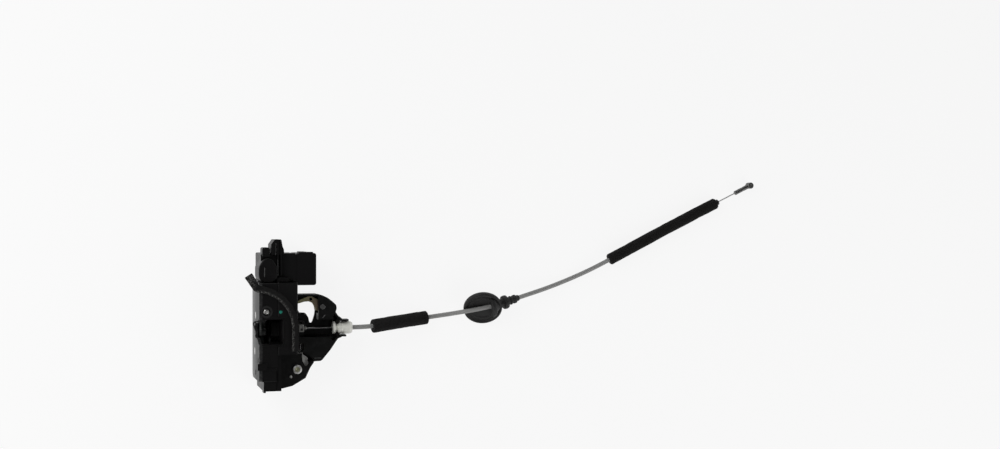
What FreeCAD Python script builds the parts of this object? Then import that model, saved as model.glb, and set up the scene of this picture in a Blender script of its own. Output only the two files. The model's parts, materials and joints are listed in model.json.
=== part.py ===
"""Car door lock: latch, electric lock actuator and pull cable of the inside handle.

Frame: the origin is the centre of the latch plate's two-screw line, on the plate's outer face.
+X leads from the door's edge into the door and along the cable, +Y is up in the mounted door,
+Z points into the car. Millimetres. The lock lies on its outboard side, which is at -Z.
"""
import FreeCAD, Part
import math
import os

V = FreeCAD.Vector

# Latch plate
DEPTH = 60.0
PLATE_T = 3.0
PLATE_TOP = 47.0
PLATE_BOTTOM = -48.0
PLATE_CORNER = 6.0
SCREW_Y = 41.0
SCREW_R = 3.0
THIRD_SCREW = (-28.0, 20.0)
NUT_R = 4.8
NUT_T = 5.0
THROAT = 15.0
MOUTH = 24.0
MOUTH_BACK = 23.0
STRIKER_Z = -2.0

# Fork, pawl and their rivets
FORK_Y = 14.5
FORK_R = 20.5
FORK_T = 4.0
SKIN_T = 0.8
FORK_SLOT = 12.4
FORK_OPEN = 60.0
NOTCH_DEPTH = 4.5
NOTCH_ANGLE = 43.0
PAWL_Y = -21.0
PAWL_Z = -9.0
PAWL_HUB = 6.5
PAWL_GAP = 0.3
PIVOT_R = 4.5
PIVOT_NECK = 3.5
RUNNING = 0.05
SWING_GAP = 0.6
COUNTER_T = 2.0
SPRING_WIRE = 1.2

# Latch case and actuator housing
WALL = 2.5
CASE_BACK = 17.5
CASE_FOOT = -57.2
HOUSING_BACK = 37.0
HOUSING_TOP = 75.4
HOUSING_BOTTOM = -22.0
UPPER_FRONT = 3.0
UPPER_FACE = 16.0
COVER_T = 2.0
FOAM_T = 3.5
FOAM_W = 6.5
FOAM_R = 41.7
FOAM_CENTRE = (-4.0, 3.0)
FOAM_END = -19.0
FOAM_TAIL_TOP = 55.0
JOIN = 0.2
CASE_SCREW = (6.8, 19.3)
SCREW_OVER_FORK = 1.5
SCREW_SHAFT_R = 1.6
SCREW_HEAD_R = 3.5
SCREW_SINK = 1.4
SCREW_BOSS_R = 6.0
TORX_R = 1.15
TORX_DEPTH = 0.9
FOOT_FRONT = 4.5
FOOT_BACK = 21.4
FOOT_STEP = 2.0
TOE_H = 1.4
TAB_X = (-1.7, 7.5)
TAB_Y = (-36.6, -30.2)
TAB_H = 2.0
SPUR_X = (7.0, 16.8)
SPUR_Y = (-36.9, -34.9)
SPUR_H = 0.8
LEDGE_X = 20.0
LEDGE_Y = (-14.0, -12.8)
BLIND_BOSS = (7.0, -24.3)
BLIND_BOSS_R = 3.0
TUNNEL_WALL = 2.0
TUNNEL_FLOOR = -12.0
SHOULDER_H = 5.0
SHOULDER_RISE = 6.0
SPIRE = ((12.6, -1.4), (12.6, 8.6), (16.0, 13.4), (22.4, 13.4), (23.6, 6.6), (25.0, 3.1),
         (25.0, -1.4))
SPIRE_FACE = 20.0
RIBS = ((18.4, 12.1), (21.4, 11.6))
RIB_T = 1.1
GUIDE_X = (3.9, 11.2)
GUIDE_RISE = 5.7

# Motor, worm and wheel
MOTOR_W = 16.0
MOTOR_H = 20.0
MOTOR_L = 28.0
MOTOR_X = 9.0
MOTOR_Y = 59.0
MOTOR_FOOT = 10.0
MOTOR_PLAY = 0.1
BULGE_WALL = 1.3
MODULE = 1.0
WHEEL_TEETH = 20
WHEEL_T = 3.0
WORM_PITCH_R = 3.5
WORM_L = 14.0
WHEEL_Z = -15.5
CRANK_R = 8.0
CRANK_PIN_R = 2.0
CRANK_TURN = 80.0
PIN_PLAY = 0.4

# Connector
CONN_RIGHT = 57.0
CONN_BOTTOM = 44.0
CONN_TOP = 75.4
CONN_FACE = 15.0
CONN_WALL = 2.2
PIN_PITCH = 5.0
PIN_W = 0.8
PIN_ROWS = 5
PIN_COLUMNS = (44.5, 49.5)

# Levers and bracket
RIVET = (39.0, -38.3)
RIVET_R = 3.0
RIVET_HEAD_R = 4.5
PIN_R = 1.2
ARM_W = 7.8
HUB_R = 8.0
SPRING_R = 0.8
CABLE_Y = 1.0
NIPPLE_X = 44.3
NIPPLE_W = 4.8
NIPPLE_H = 7.4
LEVER_T = 2.5
LEVER_Z = -7.3
LIP_R = 15.2
PEG_R = 1.6
PEG_PLAY = 0.5
FLOOR_Z = -12.0
FLOOR_T = 2.5
RIM_FACE = 8.0
RIM_T = 2.0
DECK_T = 2.5
OUTER_PIVOT = (64.4, 22.2)
OUTER_PIN_R = 2.5
OUTER_EYE = (53.5, 29.6)
EYE_R = 1.5
OUTER_Z = 0.0
OUTER_T = 2.5

# Ferrule and cable
FLANGE_X = 75.5
FLANGE_R = 6.5
FLANGE_T = 2.3
GROOVE_R = 4.6
GROOVE_W = 2.8
FERRULE_R = 6.3
FERRULE_END = 95.0
CLIP_PLAY = 0.1
SHEATH_R = 2.3
WIRE_R = 0.75
WIRE_BORE = 0.82
SLEEVE_SHORT_R = 7.0
SLEEVE_LONG_R = 6.1
GROMMET_R = 20.0
CAP_R = 3.2
CAP_L = 3.0
STEM_R = 2.4
BARREL_R = 3.4
BARREL_L = 8.0
STEM_L = 17.0
STEM_SINK = 0.7
FREE_WIRE = 27.0
CRIMP = 4.0
CORE_SPARE = 4.0
PULL = 12.0

HALF = DEPTH / 2
TABLE = -HALF
SCREW_TIP = STRIKER_Z + FORK_R + SCREW_OVER_FORK
MOTOR_TOP = WHEEL_Z + MOTOR_FOOT + MOTOR_L
BULGE_FACE = MOTOR_TOP + BULGE_WALL + 2 * MOTOR_PLAY
OUT = "parts"
os.makedirs(OUT, exist_ok=True)
pieces = {}


def box(x, y, z):
    """Box between the low and high value of each axis."""
    return Part.makeBox(x[1] - x[0], y[1] - y[0], z[1] - z[0], V(x[0], y[0], z[0]))


def rod(x, y, z, axis, radius, length):
    """Cylinder that starts at a point and runs along an axis."""
    return Part.makeCylinder(radius, length, V(x, y, z), V(*axis))


def fuse(first, *others):
    """One solid from several that touch or overlap."""
    return first.multiFuse(list(others)).removeSplitter()


def cut(body, *tools):
    """The body without the tools."""
    return body.cut(list(tools))


def outline(points, radius):
    """Closed wire through corner points in a plane, each corner rounded as far as its sides allow."""
    corners = [V(*p) for p in points]
    count = len(corners)
    starts, ends, middles = [], [], []
    for i, corner in enumerate(corners):
        back = corners[i - 1] - corner
        ahead = corners[(i + 1) % count] - corner
        opening = back.getAngle(ahead)
        room = 0.45 * min(back.Length, ahead.Length) * math.tan(opening / 2)
        r = min(radius, room)
        reach = r / math.tan(opening / 2)
        bisector = V(back).normalize() + V(ahead).normalize()
        if bisector.Length < 1e-6 or r < 0.02:
            starts.append(corner)
            ends.append(corner)
            middles.append(None)
            continue
        starts.append(corner + V(back).normalize() * reach)
        ends.append(corner + V(ahead).normalize() * reach)
        middles.append(corner + bisector.normalize() * (r / math.sin(opening / 2) - r))
    edges = []
    for i in range(count):
        if middles[i] is not None:
            edges.append(Part.Arc(starts[i], middles[i], ends[i]).toShape())
        following = starts[(i + 1) % count]
        if (following - ends[i]).Length > 1e-6:
            edges.append(Part.LineSegment(ends[i], following).toShape())
    return Part.Wire(edges)


def slab_z(points, z, radius=0.0):
    """Plate with an XY outline between two heights."""
    wire = outline([(x, y, z[0]) for x, y in points], radius)
    return Part.Face(wire).extrude(V(0, 0, z[1] - z[0]))


def slab_x(points, x, radius=0.0):
    """Plate with a YZ outline between two X values."""
    wire = outline([(x[0], y, z) for y, z in points], radius)
    return Part.Face(wire).extrude(V(x[1] - x[0], 0, 0))


def slot_z(a, b, radius, z):
    """Bar with round ends between two XY points."""
    along = V(b[0] - a[0], b[1] - a[1], 0)
    side = V(-along.y, along.x, 0).normalize() * radius
    corners = [V(a[0], a[1], z[0]) - side, V(b[0], b[1], z[0]) - side,
               V(b[0], b[1], z[0]) + side, V(a[0], a[1], z[0]) + side]
    middle = Part.Face(Part.makePolygon(corners + [corners[0]])).extrude(V(0, 0, z[1] - z[0]))
    ends = [rod(p[0], p[1], z[0], (0, 0, 1), radius, z[1] - z[0]) for p in (a, b)]
    return fuse(middle, *ends)


def soften(solid, radius, pick):
    """Fillet of the edges that a test picks."""
    chosen = [e for e in solid.Edges if pick(e)]
    return solid.makeFillet(radius, chosen) if chosen else solid


def upright(edge):
    """True for a straight edge along Z."""
    box_of = edge.BoundBox
    return box_of.XLength < 1e-4 and box_of.YLength < 1e-4 and box_of.ZLength > 1


def coil(centre, axis, radius, wire_r, turns, legs):
    """Torsion spring: a helix with a straight leg from each end to a given point."""
    pitch = 2 * wire_r + 0.12
    helix = Part.makeHelix(pitch, pitch * turns, radius)
    place = FreeCAD.Placement(V(*centre), FreeCAD.Rotation(V(0, 0, 1), V(*axis)))
    helix.Placement = place
    path = Part.Wire(helix.Edges)
    start = path.Edges[0].valueAt(path.Edges[0].FirstParameter)
    direction = path.Edges[0].tangentAt(path.Edges[0].FirstParameter)
    ring = Part.Wire(Part.makeCircle(wire_r, start, direction))
    body = path.makePipeShell([ring], True, True)
    end = path.Edges[-1].valueAt(path.Edges[-1].LastParameter)
    solids = [body]
    for point, target in ((start, legs[0]), (end, legs[1])):
        reach = V(*target) - point
        solids.append(Part.makeCylinder(wire_r, reach.Length, point, reach))
        solids.append(Part.makeSphere(wire_r, point))
    return fuse(*solids)


def keep(name, shape):
    """Store one named piece and write its file."""
    pieces[name] = shape
    shape.exportStep(os.path.join(OUT, name + ".step"))


def fork_point(radius, angle):
    """YZ point of the fork at rest; the angle runs from the slot's middle line."""
    turned = math.radians(angle + FORK_OPEN)
    return (FORK_Y - radius * math.cos(turned), STRIKER_Z + radius * math.sin(turned))


def fork_sector(radius, start, end, steps):
    """Points along an arc about the fork's pivot."""
    return [fork_point(radius, start + (end - start) * i / steps) for i in range(steps + 1)]


def fork_profile(inset):
    """YZ outline of the fork, held back from its edge by an inset."""
    outer = FORK_R - inset
    notch = FORK_R - NOTCH_DEPTH - inset
    half = math.degrees(math.asin((FORK_SLOT / 2 + inset) / outer))
    low = math.degrees(math.asin((FORK_SLOT / 2 + inset) / notch))
    hub = PIVOT_R + 3.6 - inset
    prong = fork_sector(outer, half, 72.0 - 2 * inset, 6)
    back = [fork_point(hub, 100.0), fork_point(hub, 140.0), fork_point(hub, 180.0)]
    land = fork_sector(outer, -112.0 + 2 * inset, -NOTCH_ANGLE - 3 * inset, 7)
    tip = fork_sector(notch, -NOTCH_ANGLE + 3 - 3 * inset, -low, 3)
    return prong + back + land + tip


def fork_slot_tool(x, widen):
    """Space of the striker in the fork: a slot with a round seat."""
    radius = FORK_SLOT / 2 + widen
    seat = fork_point(FORK_Y, 0.0)
    mouth = fork_point(FORK_R + SLOT_OVERRUN, 0.0)
    seat_rod = rod(x[0], seat[0], seat[1], (1, 0, 0), radius, x[1] - x[0])
    along = V(0, mouth[0] - seat[0], mouth[1] - seat[1])
    side = V(0, -along.z, along.y).normalize() * radius
    a, b = V(x[0], *seat), V(x[0], *mouth)
    corners = [a - side, b - side, b + side, a + side]
    slot = Part.Face(Part.makePolygon(corners + [corners[0]])).extrude(V(x[1] - x[0], 0, 0))
    return fuse(seat_rod, slot)


SLOT_OVERRUN = 6.0
PLATE_GAP = 1.1
FORK_X = PLATE_T + PLATE_GAP + SKIN_T
FORK_BACK = FORK_X + FORK_T
COUNTER_X = CASE_BACK - WALL - COUNTER_T


def make_latch_plate():
    """Steel plate with the striker's flared mouth and threaded screw holes."""
    t, b = PLATE_TOP, PLATE_BOTTOM
    blank = slab_x([(b, -HALF), (t, -HALF), (t, HALF), (b, HALF)], (0, PLATE_T), PLATE_CORNER)
    half, flare = THROAT / 2, MOUTH / 2
    throat = [(-half, STRIKER_Z), (half, STRIKER_Z), (half, 12.0), (flare, HALF - 6),
              (flare, HALF + 1), (-flare, HALF + 1), (-flare, HALF - 6), (-half, 12.0)]
    mouth = fuse(slab_x(throat, (-1, PLATE_T + 1), 3.0),
                 rod(-1, 0, STRIKER_Z, (1, 0, 0), half, PLATE_T + 2),
                 box((-1, PLATE_T + 1), (-half, half), (STRIKER_Z, 8.0)))
    holes = [rod(-1, y, z, (1, 0, 0), SCREW_R, PLATE_T + 2)
             for y, z in ((SCREW_Y, 0), (-SCREW_Y, 0), THIRD_SCREW)]
    rivets = [rod(-1, y, z, (1, 0, 0), PIVOT_NECK, PLATE_T + 2)
              for y, z in ((FORK_Y, STRIKER_Z), (PAWL_Y, PAWL_Z))]
    keep("latch_plate", cut(blank, mouth, *holes, *rivets))


def make_weld_nuts():
    """Three round weld nuts behind the plate's screw holes."""
    nuts = []
    for y, z in ((SCREW_Y, 0), (-SCREW_Y, 0), THIRD_SCREW):
        body = rod(PLATE_T, y, z, (1, 0, 0), NUT_R, NUT_T)
        nuts.append(cut(body, rod(PLATE_T - 1, y, z, (1, 0, 0), SCREW_R, NUT_T + 2)))
    keep("weld_nuts", Part.makeCompound(nuts))


def make_counter_plate():
    """Steel plate behind the fork and the pawl, which holds the far ends of both rivets."""
    x = (COUNTER_X, COUNTER_X + COUNTER_T)
    points = [(-33, -20), (-6, -20), (6, -25), (30, -25), (33, -10), (33, 12), (MOUTH / 2 + 2, 12),
              (THROAT / 2 + 1, STRIKER_Z), (0, -12), (-THROAT / 2 - 1, STRIKER_Z), (-33, STRIKER_Z)]
    plate = slab_x(points, x, 3.0)
    necks = [rod(x[0] - 1, y, z, (1, 0, 0), PIVOT_NECK, COUNTER_T + 2)
             for y, z in ((FORK_Y, STRIKER_Z), (PAWL_Y, PAWL_Z))]
    keep("counter_plate", cut(plate, *necks, pawl_pin_path()))


def make_rivet(name, y, z, shoulder):
    """Stepped rivet: flush neck in the plate, shoulder for the moving piece, neck and head behind."""
    body = fuse(rod(0, y, z, (1, 0, 0), PIVOT_NECK, COUNTER_X + COUNTER_T),
                rod(PLATE_T, y, z, (1, 0, 0), shoulder, COUNTER_X - PLATE_T),
                rod(COUNTER_X + COUNTER_T, y, z, (1, 0, 0), PIVOT_NECK + 1.2, 1.4))
    keep(name, body)


def make_fork():
    """Fork: steel core in a plastic jacket whose two skins meet through holes in the steel."""
    steel_x = (FORK_X, FORK_BACK)
    jacket_x = (FORK_X - SKIN_T, FORK_BACK + SKIN_T)
    plugs = [fork_point(13.0, a) for a in (55.0, -50.0, -85.0)]
    bore = rod(PLATE_T, FORK_Y, STRIKER_Z, (1, 0, 0), PIVOT_R + RUNNING, CASE_BACK)
    steel = cut(fuse(slab_x(fork_profile(0.0), steel_x),
                     rod(FORK_X, FORK_Y, STRIKER_Z, (1, 0, 0), PIVOT_R + 3.6, FORK_T)),
                fork_slot_tool((PLATE_T, CASE_BACK), 0.0), bore,
                *[rod(FORK_X - 1, y, z, (1, 0, 0), 1.6, FORK_T + 2) for y, z in plugs])
    skins = cut(fuse(slab_x(fork_profile(0.8), jacket_x),
                     rod(jacket_x[0], FORK_Y, STRIKER_Z, (1, 0, 0), PIVOT_R + 2.8,
                         jacket_x[1] - jacket_x[0])),
                fork_slot_tool((PLATE_T, CASE_BACK), 0.8), bore)
    gap = box(steel_x, (FORK_Y - 40, FORK_Y + 40), (-40, 40))
    jacket = fuse(cut(skins, gap), *[rod(FORK_X, y, z, (1, 0, 0), 1.6, FORK_T) for y, z in plugs])
    keep("fork_steel", steel)
    keep("fork_overmould", jacket)


def tooth_point(radius, angle):
    """YZ point about the fork's pivot at a world angle."""
    turned = math.radians(angle)
    return (FORK_Y - radius * math.cos(turned), STRIKER_Z + radius * math.sin(turned))


PAWL_TAIL = (-27.0, 0.0)
PIN_END = 25.5


def pawl_pin_path():
    """Slot that the pawl's drive pin sweeps through the counter plate and the case's back."""
    y, z = PAWL_TAIL
    return box((COUNTER_X - 1, PIN_END + 1), (y - 2.6, y + 3.6), (z - 2.6, z + 3.4))


def make_pawl():
    """Pawl with its tooth on the fork's rim, and the pin that the inner lever lifts it by."""
    ride = FORK_R + PAWL_GAP
    x = (FORK_X, FORK_BACK)
    tip = [tooth_point(ride, -50.0), tooth_point(ride, -45.0), tooth_point(ride, -41.0)]
    arm = [(PAWL_Y + 2, PAWL_Z + 5.5)] + [tip[2], tip[1], tip[0]]
    arm += [(1.0, -22.5), (-3.0, -23.5), (PAWL_Y + 1, PAWL_Z - 6.0)]
    tail = [(PAWL_Y + 4, PAWL_Z + 3.0), (PAWL_Y - 5, PAWL_Z - 2.0),
            (PAWL_TAIL[0] - 2.5, PAWL_TAIL[1] - 1.0), (PAWL_TAIL[0] - 2.0, PAWL_TAIL[1] + 2.5),
            (PAWL_TAIL[0] + 2.0, PAWL_TAIL[1] + 2.8)]
    body = fuse(rod(x[0], PAWL_Y, PAWL_Z, (1, 0, 0), PAWL_HUB, FORK_T), slab_x(arm, x),
                slab_x(tail, x))
    clear = rod(x[0] - 1, FORK_Y, STRIKER_Z, (1, 0, 0), ride, FORK_T + 2)
    pin = rod(x[0], PAWL_TAIL[0], PAWL_TAIL[1], (1, 0, 0), 1.5, PIN_END - x[0])
    bore = rod(x[0] - 1, PAWL_Y, PAWL_Z, (1, 0, 0), PIVOT_R - 1 + RUNNING, FORK_T + 2)
    keep("pawl", cut(fuse(cut(body, clear), pin), bore))


def make_springs():
    """Return springs of the fork and the pawl, wound round their rivets."""
    room = FORK_BACK + SKIN_T + 0.25
    r = SPRING_WIRE / 2
    ring = PIVOT_R + 1.1 + r
    keep("fork_spring", coil((room + r, FORK_Y, STRIKER_Z), (1, 0, 0), ring, r, 1.0,
                             ((room + r, FORK_Y - 6.5, STRIKER_Z - ring - 1.5),
                              (room + 3 * r + 0.12, FORK_Y + 13.0, STRIKER_Z - ring - 1.0))))
    at = FORK_BACK + 0.3 + r
    ring = PIVOT_R + r
    keep("pawl_spring", coil((at, PAWL_Y, PAWL_Z), (1, 0, 0), ring, r, 1.0,
                             ((at, PAWL_Y - 9.0, PAWL_Z - ring - 0.8),
                              (at + 2 * r + 0.12, PAWL_Y + 13.0, PAWL_Z - ring - 2.0))))


def mouth_tunnel(grow, x, low):
    """Rectangular space of the striker's bow, open at the inboard face."""
    half = MOUTH / 2 + grow
    return box(x, (-half, half), (low, HALF + 1 if grow == 0 else HALF))


def make_latch_case():
    """Moulded case of the latch: pockets for the fork and pawl, and the striker's mouth."""
    main = box((PLATE_T, CASE_BACK), (PLATE_BOTTOM, PLATE_TOP), (-HALF, HALF))
    main = soften(main, 1.5, lambda e: e.BoundBox.XLength > 10)
    face = HALF - FOOT_STEP
    foot = box((FOOT_FRONT, FOOT_BACK), (CASE_FOOT, PLATE_BOTTOM + 2), (-HALF, face))
    toe = box((FOOT_FRONT, FOOT_FRONT + 2), (CASE_FOOT - TOE_H, CASE_FOOT + 1), (face - 12, face))
    lower = box((CASE_BACK - 1, FOOT_BACK), (CASE_FOOT, HOUSING_BOTTOM - JOIN), (-HALF, face))
    tunnel = mouth_tunnel(TUNNEL_WALL, (PLATE_T, MOUTH_BACK + 1.5), TUNNEL_FLOOR - TUNNEL_WALL)
    tab = fuse(box(TAB_X, TAB_Y, (HALF - 0.5, HALF + TAB_H)),
               box(SPUR_X, SPUR_Y, (HALF - 0.5, HALF + SPUR_H)))
    tab = cut(tab, box((TAB_X[0] - 1, PLATE_T), TAB_Y, (-HALF, HALF + 0.05)))
    ledge = box((PLATE_T, LEDGE_X), LEDGE_Y, (HALF - 1, HALF + SPUR_H))
    screw_boss = rod(*CASE_SCREW, HALF - 1, (0, 0, 1), SCREW_BOSS_R, 1.6)
    blind_boss = rod(*BLIND_BOSS, HALF - 1, (0, 0, 1), BLIND_BOSS_R, 1.4)
    body = fuse(main, foot, toe, lower, tunnel, tab, ledge, screw_boss, blind_boss)
    floor_x = CASE_BACK - WALL
    fork_pocket = rod(PLATE_T - 1, FORK_Y, STRIKER_Z, (1, 0, 0), FORK_R + SWING_GAP,
                      floor_x - PLATE_T + 1)
    pawl_pocket = slab_x([(-34, -27), (6, -27), (6, 5), (-34, 5)], (PLATE_T - 1, floor_x), 3.0)
    brace = slab_x([(-6, -26), (34, -26), (34, 13), (-6, 13)], (COUNTER_X, floor_x), 3.0)
    nuts = [rod(PLATE_T - 1, y, z, (1, 0, 0), NUT_R + 0.2, 7.0 + NUT_T)
            for y, z in ((SCREW_Y, 0), (-SCREW_Y, 0), THIRD_SCREW)]
    heads = [rod(floor_x - 0.1, y, z, (1, 0, 0), PIVOT_NECK + 1.4, 1.8)
             for y, z in ((FORK_Y, STRIKER_Z), (PAWL_Y, PAWL_Z))]
    shaft = rod(*CASE_SCREW, SCREW_TIP, (0, 0, 1), SCREW_SHAFT_R, HALF - SCREW_TIP + 4)
    head = rod(*CASE_SCREW, HALF - SCREW_SINK, (0, 0, 1), SCREW_HEAD_R + JOIN, 4.0)
    plate_room = box((-5, PLATE_T), (PLATE_BOTTOM - 1, PLATE_TOP + 1), (-HALF - 1, HALF + 0.02))
    relief = box((8.0, 18.0), (CASE_FOOT + 3, -38.0), (-HALF - 1, HALF - 8))
    groove = box((CASE_BACK - 0.9, CASE_BACK - 0.1), (CASE_FOOT - 1, -38.0), (HALF - 3, HALF))
    keep("latch_case", cut(body, mouth_tunnel(0, (PLATE_T - 1, MOUTH_BACK), TUNNEL_FLOOR), fork_pocket,
                           pawl_pocket, brace, *nuts, *heads, shaft, head, relief, groove,
                           plate_room, pawl_pin_path()))


def make_striker_buffer():
    """Rubber block at the bottom of the mouth, behind the fork."""
    block = slab_x([(-10, -11.5), (10, -11.5), (10, -5), (6.5, STRIKER_Z), (-6.5, STRIKER_Z),
                    (-10, -5)], (COUNTER_X + COUNTER_T + 0.2, MOUTH_BACK), 1.5)
    keep("striker_buffer", block)


def make_actuator_housing():
    """Moulded housing of the lock actuator, open towards the outboard side."""
    low = TABLE + COVER_T
    back = HOUSING_BACK
    seam = PLATE_TOP + JOIN
    main = box((CASE_BACK, back), (HOUSING_BOTTOM, seam), (low, HALF))
    main = soften(main, 1.5, lambda e: e.BoundBox.ZMin > HALF - 0.1 and e.BoundBox.YLength > 20)
    upper = box((UPPER_FRONT, back), (seam, HOUSING_TOP), (low, UPPER_FACE))
    upper = soften(upper, 2.0, upright)
    shoulder = box((CASE_BACK + 0.4, back - 7), (PLATE_TOP - 2, PLATE_TOP + SHOULDER_H),
                   (UPPER_FACE - 1, UPPER_FACE + SHOULDER_RISE))
    left, right = MOTOR_X - MOTOR_W / 2 - 0.8, MOTOR_X + MOTOR_W / 2 + 1.0
    crown = MOTOR_Y + MOTOR_H / 2
    bulge = slab_z([(left, seam), (right, seam), (right, crown - 7), (right - 3.5, crown - 0.5),
                    (MOTOR_X, crown + 2.4), (left + 3.4, crown - 0.5), (left, crown - 7)],
                   (MOTOR_TOP - MOTOR_L - 3.5, BULGE_FACE), 7.0)
    bulge = soften(bulge, 1.0, lambda e: e.BoundBox.ZMin > BULGE_FACE - 0.01)
    spire = slab_z([(x, HOUSING_TOP + rise) for x, rise in SPIRE], (-6.0, SPIRE_FACE), 1.2)
    ribs = [box((x, x + RIB_T), (seam + 6.8, HOUSING_TOP + rise), (UPPER_FACE - 1, SPIRE_FACE + 1.2))
            for x, rise in RIBS]
    guide = slab_z([(GUIDE_X[0], HOUSING_TOP - 3.4), (GUIDE_X[1], HOUSING_TOP - 3.4),
                    (GUIDE_X[1], HOUSING_TOP + GUIDE_RISE), (GUIDE_X[0], HOUSING_TOP + GUIDE_RISE),
                    (GUIDE_X[0], HOUSING_TOP + 1.6)],
                   (4.0, UPPER_FACE + 5), 2.0)
    body = fuse(main, upper, shoulder, bulge, spire, guide, *ribs)
    inner = back - WALL
    side, bed = MOUTH / 2 + TUNNEL_WALL + JOIN, TUNNEL_FLOOR - TUNNEL_WALL - JOIN
    tunnel = box((CASE_BACK - 1, MOUTH_BACK + 1.7), (-side, side), (bed, HALF + 1))
    wrap = box((CASE_BACK - 1, MOUTH_BACK + 1.5 + WALL), (-side - WALL, side + WALL),
               (bed - WALL, HALF))
    lower_room = box((CASE_BACK + WALL, inner), (HOUSING_BOTTOM + WALL, PLATE_TOP + 1),
                     (low - 1, HALF - WALL))
    upper_room = box((UPPER_FRONT + WALL, inner), (PLATE_TOP + WALL, HOUSING_TOP - WALL),
                     (low - 1, UPPER_FACE - WALL))
    opening = box((27.0, inner), (PLATE_TOP - 1, PLATE_TOP + WALL + 1), (low - 1, UPPER_FACE - WALL))
    room = fuse(cut(lower_room, wrap), upper_room, opening)
    edge = WHEEL_X + AXLE_R + 0.2
    rail = box((edge - 1.2, edge), (PLATE_TOP + WALL - 0.5, CRANK_Y - 0.8),
               (WHEEL_Z + 3.0, UPPER_FACE - WALL + 0.5))
    post = rod(WHEEL_X, HOUSING_TOP - WALL - 2.0, WHEEL_Z, (0, 1, 0), 4.0, 2.5)
    worm_room = rod(MOTOR_X, MOTOR_Y, WHEEL_Z - 8.0, (0, 0, 1), 5.2, 18.0)
    pocket = slab_z(motor_outline(MOTOR_PLAY),
                    (MOTOR_TOP - MOTOR_L - 1.0, MOTOR_TOP + MOTOR_PLAY), 6.0)
    seat = slab_z(motor_outline(WALL - 0.9), (MOTOR_TOP - MOTOR_L + 2.5, UPPER_FACE), 6.0)
    hollow = cut(room, seat, rail, post)
    shaft = rod(WHEEL_X, PLATE_TOP, WHEEL_Z, (0, 1, 0), AXLE_R + RUNNING,
                HOUSING_TOP - PLATE_TOP - 0.8)
    slit = box((left + 5.4, left + 6.6), (MOTOR_Y - 7, MOTOR_Y + 3), (BULGE_FACE - 0.9, BULGE_FACE + 1))
    keep("actuator_housing", cut(body, tunnel, hollow, pocket, shaft, slit, worm_room))


def motor_outline(grow):
    """XY outline of the flat-sided motor can."""
    w, h = MOTOR_W / 2 + grow, MOTOR_H / 2 + grow
    x, y = MOTOR_X, MOTOR_Y
    return [(x - w, y - h + 5), (x - w + 5, y - h), (x + w - 5, y - h), (x + w, y - h + 5),
            (x + w, y + h - 5), (x + w - 5, y + h), (x - w + 5, y + h), (x - w, y + h - 5)]


def make_actuator_cover():
    """Flat lid on the outboard side, on which the lock lies."""
    points = [(CASE_BACK, HOUSING_BOTTOM), (HOUSING_BACK, HOUSING_BOTTOM),
              (HOUSING_BACK, HOUSING_TOP), (UPPER_FRONT, HOUSING_TOP),
              (UPPER_FRONT, PLATE_TOP + JOIN), (CASE_BACK, PLATE_TOP + JOIN)]
    lid = slab_z(points, (TABLE, TABLE + COVER_T), 1.5)
    rim = [(CASE_BACK + WALL + 0.2, HOUSING_BOTTOM + WALL + 0.2),
           (HOUSING_BACK - WALL - 0.2, HOUSING_BOTTOM + WALL + 0.2),
           (HOUSING_BACK - WALL - 0.2, HOUSING_TOP - WALL - 0.2),
           (27.2, HOUSING_TOP - WALL - 0.2), (27.2, PLATE_TOP - 1.2),
           (CASE_BACK + WALL + 0.2, PLATE_TOP - 1.2)]
    lip = cut(slab_z(rim, (TABLE + COVER_T, TABLE + COVER_T + 1.5), 1.0),
              slab_z([(x + (1.5 if x < 28 else -1.5), y + (1.5 if y < 20 else -1.5))
                      for x, y in rim], (TABLE, HALF), 1.0))
    screws = [rod(x, y, TABLE - 1, (0, 0, 1), 1.4, COVER_T + 2) for x, y in COVER_SCREWS]
    case_side = box((0, CASE_BACK), (HOUSING_BOTTOM - 1, PLATE_TOP + JOIN), (TABLE - 1, HALF))
    keep("actuator_cover", cut(fuse(lid, lip), case_side, *screws))
    sunk = [cut(rod(x, y, TABLE, (0, 0, 1), 1.4, COVER_T), rod(x, y, TABLE - 1, (0, 0, 1), 0.8, 1.8))
            for x, y in COVER_SCREWS]
    keep("cover_screws", Part.makeCompound(sunk))


COVER_SCREWS = ((28.0, -20.4), (35.4, 20.0), (35.4, 60.0), (4.6, 60.0))


def make_lock_motor():
    """Flat-sided motor whose shaft points at the outboard side."""
    can = slab_z(motor_outline(0.0), (MOTOR_TOP - MOTOR_L, MOTOR_TOP), 6.0)
    boss = rod(MOTOR_X, MOTOR_Y, MOTOR_TOP - MOTOR_L - 1.0, (0, 0, 1), 3.0, 2.0)
    bore = rod(MOTOR_X, MOTOR_Y, MOTOR_TOP - MOTOR_L - 2.0, (0, 0, 1), 1.0 + RUNNING, 12.0)
    keep("lock_motor", cut(fuse(can, boss), bore))


def make_worm():
    """Motor shaft with a single-start worm."""
    lead = math.pi * MODULE
    top = MOTOR_TOP - MOTOR_L - 1.4
    low = top - WORM_L
    core = WORM_PITCH_R - 1.05 * MODULE
    turns = WORM_L / lead - 1.1
    start = WHEEL_Z - round((WHEEL_Z - low) / lead - 0.4) * lead
    helix = Part.makeHelix(lead, lead * turns, core)
    path = Part.Wire(helix.Edges)
    root, crest, height = 0.62, 0.32, 0.85 * MODULE + 1.0
    section = Part.makePolygon([V(core - 0.25, 0, -root), V(core + height, 0, -crest),
                                V(core + height, 0, crest), V(core - 0.25, 0, root),
                                V(core - 0.25, 0, -root)])
    thread = path.makePipeShell([section], True, True)
    thread.translate(V(MOTOR_X, MOTOR_Y, start))
    body = rod(MOTOR_X, MOTOR_Y, low, (0, 0, 1), core, WORM_L)
    shaft = rod(MOTOR_X, MOTOR_Y, low - 1.5, (0, 0, 1), 1.0, WORM_L + 11.5)
    keep("motor_worm", fuse(body, thread, shaft))


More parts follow.
